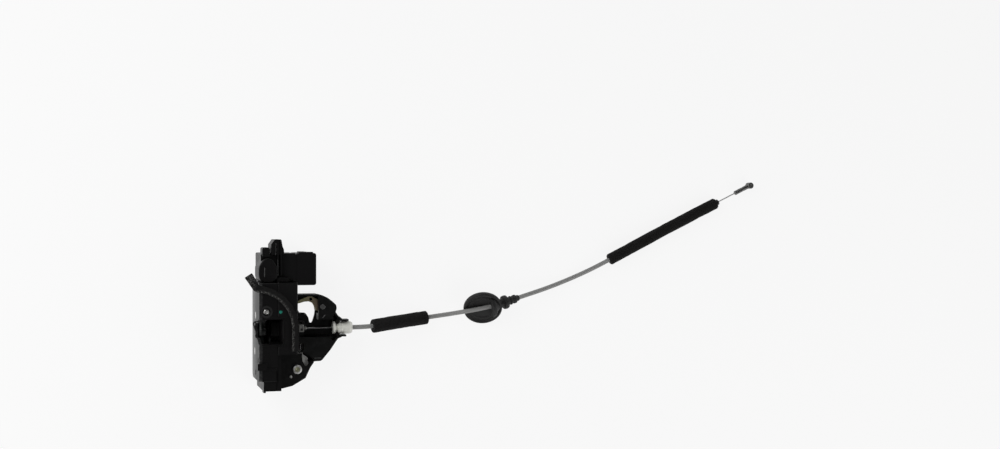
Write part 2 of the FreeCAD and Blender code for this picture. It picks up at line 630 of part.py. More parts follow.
WHEEL_R = WHEEL_TEETH * MODULE / 2
WHEEL_X = MOTOR_X + WORM_PITCH_R + WHEEL_R
CRANK_Y = 54.4
AXLE_R = 2.0


def crank_pin():
    """XZ place of the crank pin at rest, at the inboard end of its swing."""
    turned = math.radians(CRANK_TURN / 2)
    return WHEEL_X + CRANK_R * math.cos(turned), WHEEL_Z + CRANK_R * math.sin(turned)


def make_worm_wheel():
    """Wheel with a crank pin that drives the lock lever; a tooth gap faces the worm thread."""
    y = (MOTOR_Y - WHEEL_T / 2, MOTOR_Y + WHEEL_T / 2)
    root = WHEEL_R - 1.15 * MODULE
    disc = rod(WHEEL_X, y[0], WHEEL_Z, (0, 1, 0), root, WHEEL_T)
    tooth = [V(root - 0.5, y[0], -0.75), V(root - 0.5, y[0], 0.75), V(WHEEL_R, y[0], 0.5),
             V(WHEEL_R + 0.8, y[0], 0.2), V(WHEEL_R + 0.8, y[0], -0.2), V(WHEEL_R, y[0], -0.5)]
    blank = Part.Face(Part.makePolygon(tooth + [tooth[0]])).extrude(V(0, WHEEL_T, 0))
    teeth = []
    for i in range(WHEEL_TEETH):
        one = blank.copy()
        one.rotate(V(0, 0, 0), V(0, 1, 0), 180 + 360.0 * (i + 0.5) / WHEEL_TEETH)
        one.translate(V(WHEEL_X, 0, WHEEL_Z))
        teeth.append(one)
    shaft = rod(WHEEL_X, PLATE_TOP + 0.6, WHEEL_Z, (0, 1, 0), AXLE_R, HOUSING_TOP - PLATE_TOP - 1.7)
    pin_x, pin_z = crank_pin()
    web = rod(WHEEL_X, CRANK_Y, WHEEL_Z, (0, 1, 0), 5.0, y[0] - CRANK_Y + 0.2)
    ends = [V(WHEEL_X, CRANK_Y, WHEEL_Z), V(pin_x, CRANK_Y, pin_z)]
    side = V(ends[1].z - ends[0].z, 0, ends[0].x - ends[1].x).normalize() * (CRANK_PIN_R + 1.2)
    corners = [ends[0] - side, ends[1] - side, ends[1] + side, ends[0] + side]
    arm = Part.Face(Part.makePolygon(corners + [corners[0]])).extrude(V(0, y[0] - CRANK_Y + 0.2, 0))
    knob = rod(pin_x, CRANK_Y, pin_z, (0, 1, 0), CRANK_PIN_R + 1.2, y[0] - CRANK_Y + 0.2)
    pin = rod(pin_x, PLATE_TOP + WALL + 0.8, pin_z, (0, 1, 0), CRANK_PIN_R, 6.0)
    keep("worm_wheel", fuse(disc, *teeth, shaft, web, arm, knob, pin))


def make_lock_lever():
    """Slide that the crank pin moves between unlocked and locked."""
    pin_x, pin_z = crank_pin()
    far = WHEEL_X + CRANK_R
    y = (PLATE_TOP + WALL + 0.3, CRANK_Y - 0.8)
    left = WHEEL_X + AXLE_R + 0.4
    plate = box((left, HOUSING_BACK - WALL - 0.4), y, (pin_z - 5.6, pin_z + 5.4))
    arm = box((28.0, 31.0), (18.0, y[1]), (pin_z - 5.6, pin_z - 1.0))
    slot = box((pin_x - CRANK_PIN_R - 0.6, far + CRANK_PIN_R + 0.4), (y[0] - 1, y[1] + 1),
               (pin_z - CRANK_PIN_R - PIN_PLAY, pin_z + CRANK_PIN_R + PIN_PLAY))
    keep("lock_lever", cut(fuse(plate, arm), slot))


def make_electrics():
    """Switch, circuit carrier and connector with its pins."""
    x = HOUSING_BACK - WALL
    carrier = box((x - 1.6, x), (-16.0, 44.0), (-8.0, 20.0))
    holes = [rod(x - 3, y, 6.0, (1, 0, 0), 2.0, 5.0) for y in (-10.0, 14.0, 38.0)]
    keep("circuit_carrier", cut(carrier, *holes))
    body = box((x - 7.4, x - 1.6), (18.5, 36.0), (-5.0, 5.0))
    plunger = rod(x - 5.0, 27.0, -6.4, (0, 0, 1), 1.2, 2.0)
    keep("microswitch", fuse(body, plunger))
    xs = (HOUSING_BACK, CONN_RIGHT)
    shell = slab_z([(xs[0], CONN_BOTTOM), (xs[1], CONN_BOTTOM), (xs[1], CONN_TOP),
                    (xs[0], CONN_TOP)], (TABLE + 1, CONN_FACE), 2.2)
    nib = box((40.0, 54.0), (CONN_TOP - 0.5, CONN_TOP + 1.0), (CONN_FACE - 12, CONN_FACE - 1))
    latch = box((44.0, 50.0), (CONN_TOP - 0.5, CONN_TOP + 1.0), (TABLE + 2, CONN_FACE - 12))
    hollow = slab_z([(xs[0] + CONN_WALL, CONN_BOTTOM + CONN_WALL),
                     (xs[1] - CONN_WALL, CONN_BOTTOM + CONN_WALL),
                     (xs[1] - CONN_WALL, CONN_TOP - CONN_WALL),
                     (xs[0] + CONN_WALL, CONN_TOP - CONN_WALL)],
                    (TABLE, CONN_FACE - CONN_WALL - 1.0), 1.2)
    pins = []
    half = PIN_W / 2
    first = (CONN_BOTTOM + CONN_TOP - PIN_PITCH * (PIN_ROWS - 1)) / 2 - 0.4
    for i in range(PIN_ROWS):
        py = first + PIN_PITCH * i
        for px in PIN_COLUMNS:
            pins.append(box((px - half, px + half), (py - half, py + half),
                            (-6.0, CONN_FACE - CONN_WALL)))
    keep("connector_pins", Part.makeCompound(pins))
    keep("connector_socket", cut(fuse(shell, nib, latch), hollow, *pins))


def make_foam_seal():
    """Foam strip on the inboard face: free tail, quarter ring and straight end."""
    cx, cy = FOAM_CENTRE
    outer, inner = FOAM_R, FOAM_R - FOAM_W
    start, end = math.radians(88.0), 0.0
    z = HALF

    def at(radius, angle):
        return V(cx + radius * math.cos(angle), cy + radius * math.sin(angle), z)

    middle = (start + end) / 2
    tail_out = V(cx - 3.0, FOAM_TAIL_TOP, z)
    tail_in = V(cx - 10.6, FOAM_TAIL_TOP, z)
    inner_start = at(inner + 1.5, start)
    edges = [Part.Arc(at(outer, start), at(outer, middle), at(outer, end)).toShape(),
             Part.makeLine(at(outer, end), V(cx + outer, FOAM_END, z)),
             Part.makeLine(V(cx + outer, FOAM_END, z), V(cx + inner, FOAM_END, z)),
             Part.makeLine(V(cx + inner, FOAM_END, z), at(inner, end)),
             Part.Arc(at(inner, end), at(inner + 0.4, middle), inner_start).toShape(),
             Part.makeLine(inner_start, tail_in), Part.makeLine(tail_in, tail_out),
             Part.makeLine(tail_out, at(outer, start))]
    keep("foam_seal", Part.Face(Part.Wire(edges)).extrude(V(0, 0, FOAM_T)))


def make_case_screw():
    """Screw of the case, sunk in its boss."""
    x, y = CASE_SCREW
    top = HALF - SCREW_SINK
    shaft = rod(x, y, SCREW_TIP, (0, 0, 1), SCREW_SHAFT_R, top + 0.4 - SCREW_TIP)
    head = rod(x, y, top, (0, 0, 1), SCREW_HEAD_R, 1.6)
    lobe = TORX_R - 0.05
    star = [rod(x + lobe * math.cos(a), y + lobe * math.sin(a), HALF - TORX_DEPTH, (0, 0, 1), 0.45, 2.0)
            for a in (math.pi / 3 * i for i in range(6))]
    socket = rod(x, y, HALF - TORX_DEPTH, (0, 0, 1), TORX_R, 2.0)
    keep("case_screw", cut(fuse(shaft, head), socket, *star))


BRACKET = [(HOUSING_BACK, 34.8), (59.6, 34.8), (64.4, 33.5), (69.4, 31.1), (74.0, 27.5),
           (77.8, 24.0), (78.4, 20.4), (77.2, 17.0), (79.6, 13.4), (83.5, 10.6), (83.5, -8.0),
           (80.0, -9.0), (77.5, -12.2), (72.5, -19.7), (64.4, -29.6), (62.4, -31.0),
           (56.0, -31.2), (51.9, -36.9), (47.2, -47.1), (34.3, -54.5), (26.5, -56.3),
           (FOOT_BACK, CASE_FOOT), (FOOT_BACK, HOUSING_BOTTOM - JOIN),
           (HOUSING_BACK, HOUSING_BOTTOM - JOIN)]
WINDOW = [(42.4, 24.6), (44.0, 26.2), (52.0, 28.0), (56.0, 26.6), (58.0, 23.9), (59.3, 17.8),
          (58.8, 13.8), (57.2, 8.2), (55.8, 5.2), (53.8, 6.3), (52.8, 10.8), (50.6, 14.4),
          (49.0, 15.7), (43.6, 16.0), (42.4, 18.6)]
BLADE_HOLE = [(43.4, -22.6), (46.5, -23.4), (50.6, -26.8), (52.6, -31.4), (50.6, -34.8),
              (46.8, -35.6), (44.0, -30.0)]
HOOK_HOLE = [(40.6, -13.6), (45.6, -13.6), (45.6, -21.2), (40.6, -21.2)]


def make_cable_bracket():
    """Moulded tray that carries the levers and clips the cable's ferrule."""
    floor = slab_z(BRACKET, (FLOOR_Z, FLOOR_Z + FLOOR_T), 2.0)
    whole = slab_z(BRACKET, (FLOOR_Z, RIM_FACE), 2.0)
    core = Part.Face(outline([(x, y, FLOOR_Z) for x, y in BRACKET], 2.0))
    inner = core.makeOffset2D(-RIM_T).extrude(V(0, 0, RIM_FACE - FLOOR_Z))
    rim = cut(whole, inner)
    reach = FLANGE_R + 0.6
    gate = box((FLANGE_X - 2, FERRULE_END + 5), (CABLE_Y - reach, CABLE_Y + reach), (-reach, RIM_FACE + 1))
    upper_skin = slab_z([(59.6, 34.5), (64.3, 33.0), (69.2, 30.6), (73.7, 27.0), (77.4, 23.6),
                         (77.8, 20.4), (76.4, 16.8), (74.0, 10.6), (60.6, 9.6), (60.2, 22.0)],
                        (RIM_FACE - DECK_T, RIM_FACE), 1.5)
    lower_skin = slab_z([(HOUSING_BACK, -7.0), (52.0, -7.4), (72.0, -9.0), (76.6, -12.6),
                         (71.8, -19.5), (63.9, -29.0), (57.0, -30.8), (51.5, -26.0),
                         (44.0, -22.0), (HOUSING_BACK, -22.0)],
                        (RIM_FACE - DECK_T, RIM_FACE), 1.0)
    end_wall = box((HOUSING_BACK, HOUSING_BACK + RIM_T), (-22.2, 34.8), (FLOOR_Z, RIM_FACE))
    lever_way = box((HOUSING_BACK - 4, HOUSING_BACK + RIM_T + 1), (-25.0, 2.0),
                    (FLOOR_Z + FLOOR_T, LEVER_Z + LEVER_T + 0.6))
    cradle = box((FLANGE_X + FLANGE_T + CLIP_PLAY, FLANGE_X + FLANGE_T + GROOVE_W - CLIP_PLAY),
                 (CABLE_Y - reach - 1, CABLE_Y + reach + 1), (FLOOR_Z, 5.0))
    throat = fuse(rod(FLANGE_X, CABLE_Y, 0, (1, 0, 0), GROOVE_R + CLIP_PLAY, 10.0),
                  box((FLANGE_X, FLANGE_X + 10), (CABLE_Y - GROOVE_R + 0.3, CABLE_Y + GROOVE_R - 0.3),
                      (0, 9)))
    tray_end = FLANGE_X + 8.0
    near, far = FERRULE_R + 0.4, FERRULE_R + 2.2
    jaw_z, post_z = (-5.0, RIM_FACE - 1), (FLOOR_Z, RIM_FACE - 1)
    jaws = [box((tray_end - 1.5, FERRULE_END - 4.6), (CABLE_Y + near, CABLE_Y + far), jaw_z),
            box((tray_end - 1.5, FERRULE_END - 7.0), (CABLE_Y - far, CABLE_Y - near), jaw_z),
            box((tray_end - 4.5, tray_end), (CABLE_Y + near, CABLE_Y + near + 2.9), post_z),
            box((tray_end - 4.5, tray_end), (CABLE_Y - near - 2.3, CABLE_Y - near), post_z)]
    webs = [box((60.2, 61.8), (9.6, 15.8), (FLOOR_Z + 1, RIM_FACE - 1)),
            box((66.0, 76.0), (9.6, 11.2), (FLOOR_Z + 1, RIM_FACE - 1)),
            box((58.0, 74.5), (-9.0, -7.4), (FLOOR_Z + 1, RIM_FACE - 1))]
    body = fuse(floor, cut(rim, gate), end_wall, upper_skin, lower_skin, *webs,
                cut(cradle, throat), *jaws)
    window = slab_z(WINDOW, (FLOOR_Z - 1, FLOOR_Z + FLOOR_T + 1), 1.0)
    hook = slab_z(HOOK_HOLE, (0, RIM_FACE + 1), 1.0)
    blade = slab_z(BLADE_HOLE, (0, RIM_FACE + 1), 1.0)
    pivots = [rod(*RIVET, FLOOR_Z - 1, (0, 0, 1), RIVET_R, 40),
              rod(*OUTER_PIVOT, FLOOR_Z - 1, (0, 0, 1), OUTER_PIN_R, 40),
              rod(*PIN_AT, FLOOR_Z - 1, (0, 0, 1), PIN_R, 40)]
    swing = rod(*RIVET, FLOOR_Z + FLOOR_T, (0, 0, 1), LIP_R + 0.5, 8.5)
    wire_way = box((HOUSING_BACK + RIM_T + 1, FLANGE_X), (CABLE_Y - 4.4, CABLE_Y + 4.4), (-3.6, 9.0))
    lock_side = box((0, HOUSING_BACK), (HOUSING_BOTTOM - JOIN, 50), (-HALF, HALF))
    keep("cable_bracket", cut(body, window, hook, blade, *pivots, wire_way, lock_side, lever_way, swing,
                              pawl_pin_path()))


PIN_AT = (32.8, -45.4)
FAN = [(FOOT_BACK + JOIN, HOUSING_BOTTOM - 0.3), (43.0, HOUSING_BOTTOM - 0.3), (43.4, -24.0), (44.0, -30.0),
       (46.8, -35.6), (50.6, -34.8), (52.6, -31.4), (56.0, -31.2), (51.9, -36.9), (47.2, -47.1),
       (34.3, -54.5), (26.5, -56.3), (FOOT_BACK + JOIN, CASE_FOOT)]


def make_lever_cover():
    """Fan-shaped cover over the hub of the inner lever."""
    skin = slab_z(FAN, (RIM_FACE, RIM_FACE + DECK_T), 1.0)
    notch = box((HOUSING_BACK - 0.2, 44.0), (-23.0, -20.0), (RIM_FACE - 1, RIM_FACE + DECK_T + 1))
    ring = rod(*RIVET, RIM_FACE + DECK_T - 0.5, (0, 0, 1), 6.2, 1.1)
    rib = slot_z((24.0, -30.0), (24.0, -52.0), 0.8, (RIM_FACE + 1, RIM_FACE + DECK_T + 0.8))
    body = fuse(skin, ring, rib)
    keep("lever_cover", cut(body, notch, rod(*RIVET, 0, (0, 0, 1), RIVET_R, 40),
                            rod(*PIN_AT, 0, (0, 0, 1), PIN_R, 40)))


def make_lever_rivet():
    """Rivet of the inner lever: foot under the floor, shaft and domed head on the cover."""
    top = RIM_FACE + DECK_T + 0.6
    shaft = rod(*RIVET, FLOOR_Z, (0, 0, 1), RIVET_R, top - FLOOR_Z)
    head = rod(*RIVET, top, (0, 0, 1), RIVET_HEAD_R, 1.8)
    head = soften(head, 1.2, lambda e: e.BoundBox.ZMin > top + 1.7)
    dimple = Part.makeSphere(2.4, V(RIVET[0], RIVET[1], top + 3.6))
    hub = rod(*RIVET, LEVER_Z + LEVER_T + 0.1, (0, 0, 1), 4.2, RIM_FACE - LEVER_Z - LEVER_T - 0.1)
    foot = rod(*RIVET, FLOOR_Z + FLOOR_T, (0, 0, 1), 4.6, LEVER_Z - 0.1 - FLOOR_Z - FLOOR_T)
    keep("lever_rivet", fuse(shaft, cut(head, dimple), hub, foot))
    keep("cover_pin", rod(*PIN_AT, FLOOR_Z, (0, 0, 1), PIN_R, RIM_FACE + DECK_T + 1.0 - FLOOR_Z))


def lever_angle(reach):
    """Angle of the arm from +Y towards +X, to a point straight above the rivet at this X reach."""
    return math.degrees(math.atan2(reach, CABLE_Y - RIVET[1]))


def make_inner_lever():
    """Lever of the inside handle: hub, arm with a slot for the nipple's peg, and a bent blade."""
    z = (LEVER_Z, LEVER_Z + LEVER_T)
    rise = CABLE_Y - RIVET[1]
    angle = math.radians(lever_angle(NIPPLE_X - RIVET[0]))
    start = math.hypot(rise, NIPPLE_X - RIVET[0])
    end = math.hypot(rise, NIPPLE_X - RIVET[0] + PULL)

    def along(distance, side=0.0):
        return (RIVET[0] + distance * math.sin(angle) + side * math.cos(angle),
                RIVET[1] + distance * math.cos(angle) - side * math.sin(angle))

    tip = end + PEG_R + PEG_PLAY + 2.2
    side = ARM_W / 2
    arm = slab_z([along(0, -6.5), along(12, -side), along(26, -side), along(tip - 4, -4.6),
                  along(tip, -2.5), along(tip, 2.5), along(tip - 4, 4.6), along(26, 4.6),
                  along(14, 5.6), along(11.5, 9.0), along(7.0, 12.4), along(3.5, 12.0),
                  along(0, 6.5)], z, 2.0)
    hub = rod(*RIVET, z[0], (0, 0, 1), HUB_R, LEVER_T)
    toe = slab_z([(RIVET[0] - 2, RIVET[1] + 7.0), (RIVET[0] - 3, RIVET[1] + 1.0),
                  (24.0, -35.6), (24.0, -32.4), (28.0, -32.4)], z, 1.0)
    tab = box((24.0, 26.6), (-35.0, -32.4), (z[0], 2.0))
    slot = slot_z(along(start - PEG_PLAY), along(end + PEG_PLAY), PEG_R + PEG_PLAY,
                  (z[0] - 1, z[1] + 1))
    bore = rod(*RIVET, z[0] - 1, (0, 0, 1), RIVET_R + RUNNING, 20)
    wing = fuse(arm, hub, toe, tab)
    lip = blade_lip(z)
    keep("inner_lever", cut(fuse(wing, lip), slot, bore))


def blade_lip(z):
    """Upturned lip along the lever's bulge, the bright curved edge beside the arm."""
    ring = cut(rod(*RIVET, z[0], (0, 0, 1), LIP_R, 5.2),
               rod(*RIVET, z[0] - 1, (0, 0, 1), LIP_R - 1.3, 8.0))
    sector = [(RIVET[0] + r * math.cos(math.radians(a)), RIVET[1] + r * math.sin(math.radians(a)))
              for r, a in ((9.0, 34.0), (20.0, 34.0), (20.0, 71.0), (9.0, 71.0))]
    return ring.common(slab_z(sector, (z[0], z[0] + 5.2)))


def make_lever_spring():
    """Return spring round the rivet, with a hooked leg on the arm."""
    r = SPRING_R
    z = LEVER_Z + LEVER_T + 0.3 + r
    keep("lever_spring", coil((*RIVET, z + 0.3), (0, 0, 1), RIVET_R + 3.4, r, 2.0,
                              ((RIVET[0] + 5.4, RIVET[1] - 6.0, z + 0.3),
                               (43.6, -15.0, z + 4.1))))


def make_outer_lever():
    """Yellow-chromate lever of the outside handle, with the eye of its rod."""
    z = (OUTER_Z, OUTER_Z + OUTER_T)
    px, py = OUTER_PIVOT
    points = [(px + 5, py - 1.0), (px + 2, py + 5.0), (57.2, 30.6), (55.4, 32.3), (51.5, 32.5),
              (47.0, 30.9), (42.6, 28.8), (39.6, 27.0), (39.6, 25.2), (42.8, 26.0), (47.2, 27.2),
              (51.4, 27.5), (54.9, 25.9), (57.0, 22.4), (58.6, 18.4), (px, py - 5.0)]
    plate = fuse(slab_z(points, z, 1.6), rod(px, py, z[0], (0, 0, 1), 5.0, OUTER_T))
    eye = rod(*OUTER_EYE, z[0] - 1, (0, 0, 1), EYE_R, OUTER_T + 2)
    bore = rod(px, py, z[0] - 1, (0, 0, 1), OUTER_PIN_R + RUNNING, OUTER_T + 2)
    keep("outer_lever", cut(plate, eye, bore))
    shaft = rod(px, py, FLOOR_Z, (0, 0, 1), OUTER_PIN_R, RIM_FACE - FLOOR_Z)
    collar = rod(px, py, FLOOR_Z + FLOOR_T, (0, 0, 1), 4.2, OUTER_Z - 0.1 - FLOOR_Z - FLOOR_T)
    head = slab_z([(px - 3.2, py), (px, py - 3.0), (px + 3.2, py), (px, py + 3.0)],
                  (RIM_FACE, RIM_FACE + 0.9), 0.4)
    keep("outer_lever_pin", fuse(shaft, collar, head))


def make_nipple():
    """Square nipple with its ball, peg and bare core wire."""
    x = (NIPPLE_X - NIPPLE_W / 2, NIPPLE_X + NIPPLE_W / 2)
    block = box(x, (CABLE_Y - NIPPLE_H / 2, CABLE_Y + NIPPLE_H / 2), (-4.0, 3.5))
    block = soften(block, 0.5, lambda e: True)
    face = box((x[0] + 1.1, x[1] - 1.1), (CABLE_Y - 2.4, CABLE_Y + 2.4), (3.0, 4.0))
    peg = rod(NIPPLE_X, CABLE_Y, LEVER_Z - 0.4, (0, 0, 1), PEG_R, -LEVER_Z - 3.0)
    ball = Part.makeSphere(1.8, V(x[1] + 1.6, CABLE_Y, 0))
    bore = rod(x[1] - 2, CABLE_Y, 0, (1, 0, 0), WIRE_R, 60)
    keep("cable_nipple", cut(fuse(cut(block, face), peg, ball), bore))
    keep("core_wire_near", rod(x[1] - 2, CABLE_Y, 0, (1, 0, 0), WIRE_R,
                               FERRULE_END - PULL - 1.0 - x[1] + 2))


def make_ferrule():
    """Ivory end piece of the sheath: flange, clip groove, ribs and round end."""
    profile = [(FLANGE_X, WIRE_BORE), (FLANGE_X, FLANGE_R), (FLANGE_X + FLANGE_T, FLANGE_R),
               (FLANGE_X + FLANGE_T, GROOVE_R), (FLANGE_X + FLANGE_T + GROOVE_W, GROOVE_R),
               (FLANGE_X + FLANGE_T + GROOVE_W, FERRULE_R), (FERRULE_END - 2.6, FERRULE_R),
               (FERRULE_END - 0.8, FERRULE_R - 0.8), (FERRULE_END, FERRULE_R - 2.6),
               (FERRULE_END, WIRE_BORE)]
    wire = Part.makePolygon([V(x, CABLE_Y + r, 0) for x, r in profile + [profile[0]]])
    body = Part.Face(wire).revolve(V(0, CABLE_Y, 0), V(1, 0, 0), 360)
    keep("cable_ferrule", body)


ROUTE = [(FERRULE_END, CABLE_Y, 0.0), (112.0, CABLE_Y, 0.0), (134.0, 3.6, -7.6), (157.0, 5.9, -17.6),
         (180.0, 8.3, -23.8), (203.0, 11.5, -20.6), (223.0, 15.2, -13.6), (243.0, 19.0, -11.0),
         (260.0, 23.6, -13.4), (279.0, 28.8, -18.4), (304.4, 35.7, -24.0), (331.0, 44.9, -27.0),
         (355.0, 55.2, -25.2), (377.0, 66.3, -23.2), (411.0, 83.4, -23.6), (457.0, 106.4, -23.8),
         (500.8, 127.4, -23.7)]


def route_edges(report):
    """Straight runs and tangent arcs of the cable, each arc as large as its runs allow."""
    points = [V(*p) for p in ROUTE]
    edges, last = [], points[0]
    for i in range(1, len(points) - 1):
        back, ahead = points[i - 1] - points[i], points[i + 1] - points[i]
        opening = back.getAngle(ahead)
        reach = 0.45 * min(back.Length, ahead.Length)
        radius = reach * math.tan(opening / 2)
        if report:
            print("arc", i, "radius", round(radius, 1), "turn", round(180 - math.degrees(opening), 1))
        start = points[i] + V(back).normalize() * reach
        end = points[i] + V(ahead).normalize() * reach
        bisector = (V(back).normalize() + V(ahead).normalize()).normalize()
        middle = points[i] + bisector * (radius / math.sin(opening / 2) - radius)
        edges.append(Part.LineSegment(last, start).toShape())
        edges.append(Part.Arc(start, middle, end).toShape())
        last = end
    edges.append(Part.LineSegment(last, points[-1]).toShape())
    return edges


def tube(edges, radius):
    """Round solid swept along the edges."""
    first = edges[0]
    ring = Part.Wire(Part.makeCircle(radius, first.valueAt(first.FirstParameter),
                                     first.tangentAt(first.FirstParameter)))
    return Part.Wire(edges).makePipeShell([ring], True, False)


def stretch(edges, start, end):
    """The part of the route between two distances along it."""
    chosen, done = [], 0.0
    for edge in edges:
        low, high = max(start - done, 0.0), min(end - done, edge.Length)
        if high - low > 1e-3:
            a, b = edge.getParameterByLength(low), edge.getParameterByLength(high)
            chosen.append(edge.Curve.toShape(a, b))
        done += edge.Length
    return chosen


def station(edges, distance):
    """Point and direction at a distance along the route."""
    done = 0.0
    for edge in edges:
        if distance <= done + edge.Length or edge is edges[-1]:
            at = edge.getParameterByLength(min(distance - done, edge.Length))
            return edge.valueAt(at), edge.tangentAt(at)
        done += edge.Length


def distance_at(edges, x):
    """Distance along the route at which it reaches this X."""
    low, high = 0.0, sum(e.Length for e in edges)
    while high - low > 1e-6:
        middle = (low + high) / 2
        if station(edges, middle)[0].x < x:
            low = middle
        else:
            high = middle
    return low


SHORT_SLEEVE = (116.0, 176.5)
LONG_SLEEVE = (375.6, 499.0)
DISC_CENTRE = (234.0, 17.2, -15.0)
DISC_NORMAL = (-0.16, -0.61, 0.78)
NECK = ((245.0, 11.0), (248.5, 5.0), (251.5, 4.6), (255.0, 4.9))
COLLARS = ((255.0, 7.0, 259.4), (259.4, 4.0, 266.6), (266.6, 4.4, 269.4), (269.4, 3.2, 273.0))


def make_grommet(edges):
    """Rubber grommet: dished disc that leans on the table and a ribbed neck round the sheath."""
    r = GROMMET_R
    profile = [(0.0, -1.5), (r - 4.0, -1.5), (r - 1.2, -2.6), (r, -1.6), (r, 1.4), (r - 1.0, 2.4),
               (r - 2.6, 2.0), (r - 5.0, 0.6), (0.0, 0.2)]
    face = Part.Face(Part.makePolygon([V(a, 0, b) for a, b in profile + [profile[0]]]))
    disc = face.revolve(V(0, 0, 0), V(0, 0, 1), 360)
    disc.Placement = FreeCAD.Placement(V(*DISC_CENTRE), FreeCAD.Rotation(V(0, 0, 1), V(*DISC_NORMAL)))
    solids = [disc]
    for (x0, r0), (x1, r1) in zip(NECK, NECK[1:]):
        a = station(edges, distance_at(edges, x0))[0]
        b = station(edges, distance_at(edges, x1))[0]
        step = b - a
        solids.append(Part.makeCone(r0, r1, step.Length, a, step))
        solids.append(Part.makeSphere(r1 + 0.02, b))
    for x0, radius, x1 in COLLARS:
        a = station(edges, distance_at(edges, x0))[0]
        b = station(edges, distance_at(edges, x1))[0]
        solids.append(Part.makeCylinder(radius, (b - a).Length + 0.2, a, b - a))
    front = slice_front()
    body = fuse(disc, *[cut(s, front) for s in solids[1:]])
    keep("grommet", body)


def slice_front():
    """Half space in front of the disc, where the neck doesn't reach."""
    block = Part.makeBox(80, 80, 40, V(-40, -40, 1.0))
    block.Placement = FreeCAD.Placement(V(*DISC_CENTRE), FreeCAD.Rotation(V(0, 0, 1), V(*DISC_NORMAL)))
    return block


def make_cable():
    """Sheath with its foam sleeves, grommet, end cap and the bare far core."""
    edges = route_edges(True)
    length = sum(e.Length for e in edges)
    solid = tube(edges, SHEATH_R)
    end, way = station(edges, length)
    expected = math.pi * SHEATH_R ** 2 * length
    print("sheath length", round(length, 1), "volume ratio", round(solid.Volume / expected, 4))
    inside = PULL + CORE_SPARE
    bore = Part.makeCylinder(WIRE_BORE, inside + 1.0, end - way * inside, way)
    sheath = cut(solid, bore)
    keep("cable_sheath", sheath)
    for name, span, radius in (("foam_sleeve_short", SHORT_SLEEVE, SLEEVE_SHORT_R),
                               ("foam_sleeve_long", LONG_SLEEVE, SLEEVE_LONG_R)):
        part_edges = stretch(edges, distance_at(edges, span[0]), distance_at(edges, span[1]))
        keep(name, cut(tube(part_edges, radius), solid))
    make_grommet(edges)
    cap = Part.makeCylinder(CAP_R, CAP_L, end - way * 1.6, way)
    keep("sheath_end_cap", cut(cap, solid, Part.makeCylinder(WIRE_BORE, 20, end - way * 5, way)))
    keep("core_wire_far", Part.makeCylinder(WIRE_R, inside + FREE_WIRE, end - way * (inside - 1.0), way))
    stem_start = end + way * (FREE_WIRE - CRIMP)
    stem = Part.makeCylinder(STEM_R, STEM_L, stem_start, way)
    hole = Part.makeCylinder(WIRE_R, inside + FREE_WIRE, end - way * (inside - 1.0), way)
    middle = stem_start + way * (STEM_L + BARREL_R - STEM_SINK)
    barrel = Part.makeCylinder(BARREL_R, BARREL_L, middle - V(0, 0, BARREL_L / 2), V(0, 0, 1))
    keep("end_stem", cut(stem, hole, barrel))
    keep("end_barrel", barrel)
    print("cable end", end, "direction", way, "barrel", middle)


def main():
    """Build every piece of the lock."""
    make_latch_plate()
    make_weld_nuts()
    make_counter_plate()
    make_rivet("fork_rivet", FORK_Y, STRIKER_Z, PIVOT_R)
    make_rivet("pawl_rivet", PAWL_Y, PAWL_Z, PIVOT_R - 1)
    make_fork()
    make_pawl()
    make_springs()
    make_latch_case()
    make_striker_buffer()
    make_actuator_housing()
    make_actuator_cover()
    make_lock_motor()
    make_worm()
    make_worm_wheel()
    make_lock_lever()
    make_electrics()
    make_foam_seal()
    make_case_screw()
    make_cable_bracket()
    make_lever_cover()
    make_lever_rivet()
    make_inner_lever()
    make_lever_spring()
    make_outer_lever()
    make_nipple()
    make_ferrule()
    make_cable()
    for name, shape in pieces.items():
        print(name, len(shape.Solids), shape.isValid(), round(shape.Volume, 1))


if __name__ == "__main__":
    main()
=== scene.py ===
"""Car door lock: latch with lock actuator, lever bracket and the pull cable of the inside handle.

Blender metres, in the frame of the solids: the origin is the middle of the latch plate's two-screw line
on its outer face, +X runs along the cable, +Y is up in the mounted door and +Z points into the car.
The sizes in the classes are millimetres and pass through MM where a mesh is made.
"""
from __future__ import annotations

import json
import logging
import math
from dataclasses import dataclass, field
from enum import Enum
from typing import Callable, Sequence, Union

import bmesh
import bpy
import numpy as np
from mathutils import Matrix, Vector

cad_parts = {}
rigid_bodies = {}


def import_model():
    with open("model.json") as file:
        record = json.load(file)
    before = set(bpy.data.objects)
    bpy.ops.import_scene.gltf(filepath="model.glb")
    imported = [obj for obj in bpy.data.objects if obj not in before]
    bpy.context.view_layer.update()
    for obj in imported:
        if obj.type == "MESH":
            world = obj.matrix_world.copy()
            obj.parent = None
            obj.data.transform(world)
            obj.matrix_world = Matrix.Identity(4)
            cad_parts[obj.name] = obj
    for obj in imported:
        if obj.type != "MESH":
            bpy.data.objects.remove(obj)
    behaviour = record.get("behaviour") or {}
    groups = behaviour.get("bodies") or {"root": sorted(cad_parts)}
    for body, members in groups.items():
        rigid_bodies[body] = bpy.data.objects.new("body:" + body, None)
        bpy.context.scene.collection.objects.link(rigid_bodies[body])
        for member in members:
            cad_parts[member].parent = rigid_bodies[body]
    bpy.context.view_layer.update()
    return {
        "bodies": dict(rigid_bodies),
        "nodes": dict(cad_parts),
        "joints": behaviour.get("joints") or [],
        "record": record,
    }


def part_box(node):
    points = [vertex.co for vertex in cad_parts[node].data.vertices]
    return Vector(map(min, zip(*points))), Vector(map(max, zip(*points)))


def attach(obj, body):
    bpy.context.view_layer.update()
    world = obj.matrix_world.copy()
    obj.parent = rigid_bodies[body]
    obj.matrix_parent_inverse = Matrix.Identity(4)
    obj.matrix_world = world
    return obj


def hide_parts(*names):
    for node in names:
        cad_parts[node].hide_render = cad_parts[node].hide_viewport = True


MM = 0.001
PER_METRE = 1000.0
WELD_M = 2e-6
LOG = logging.getLogger("door_lock")

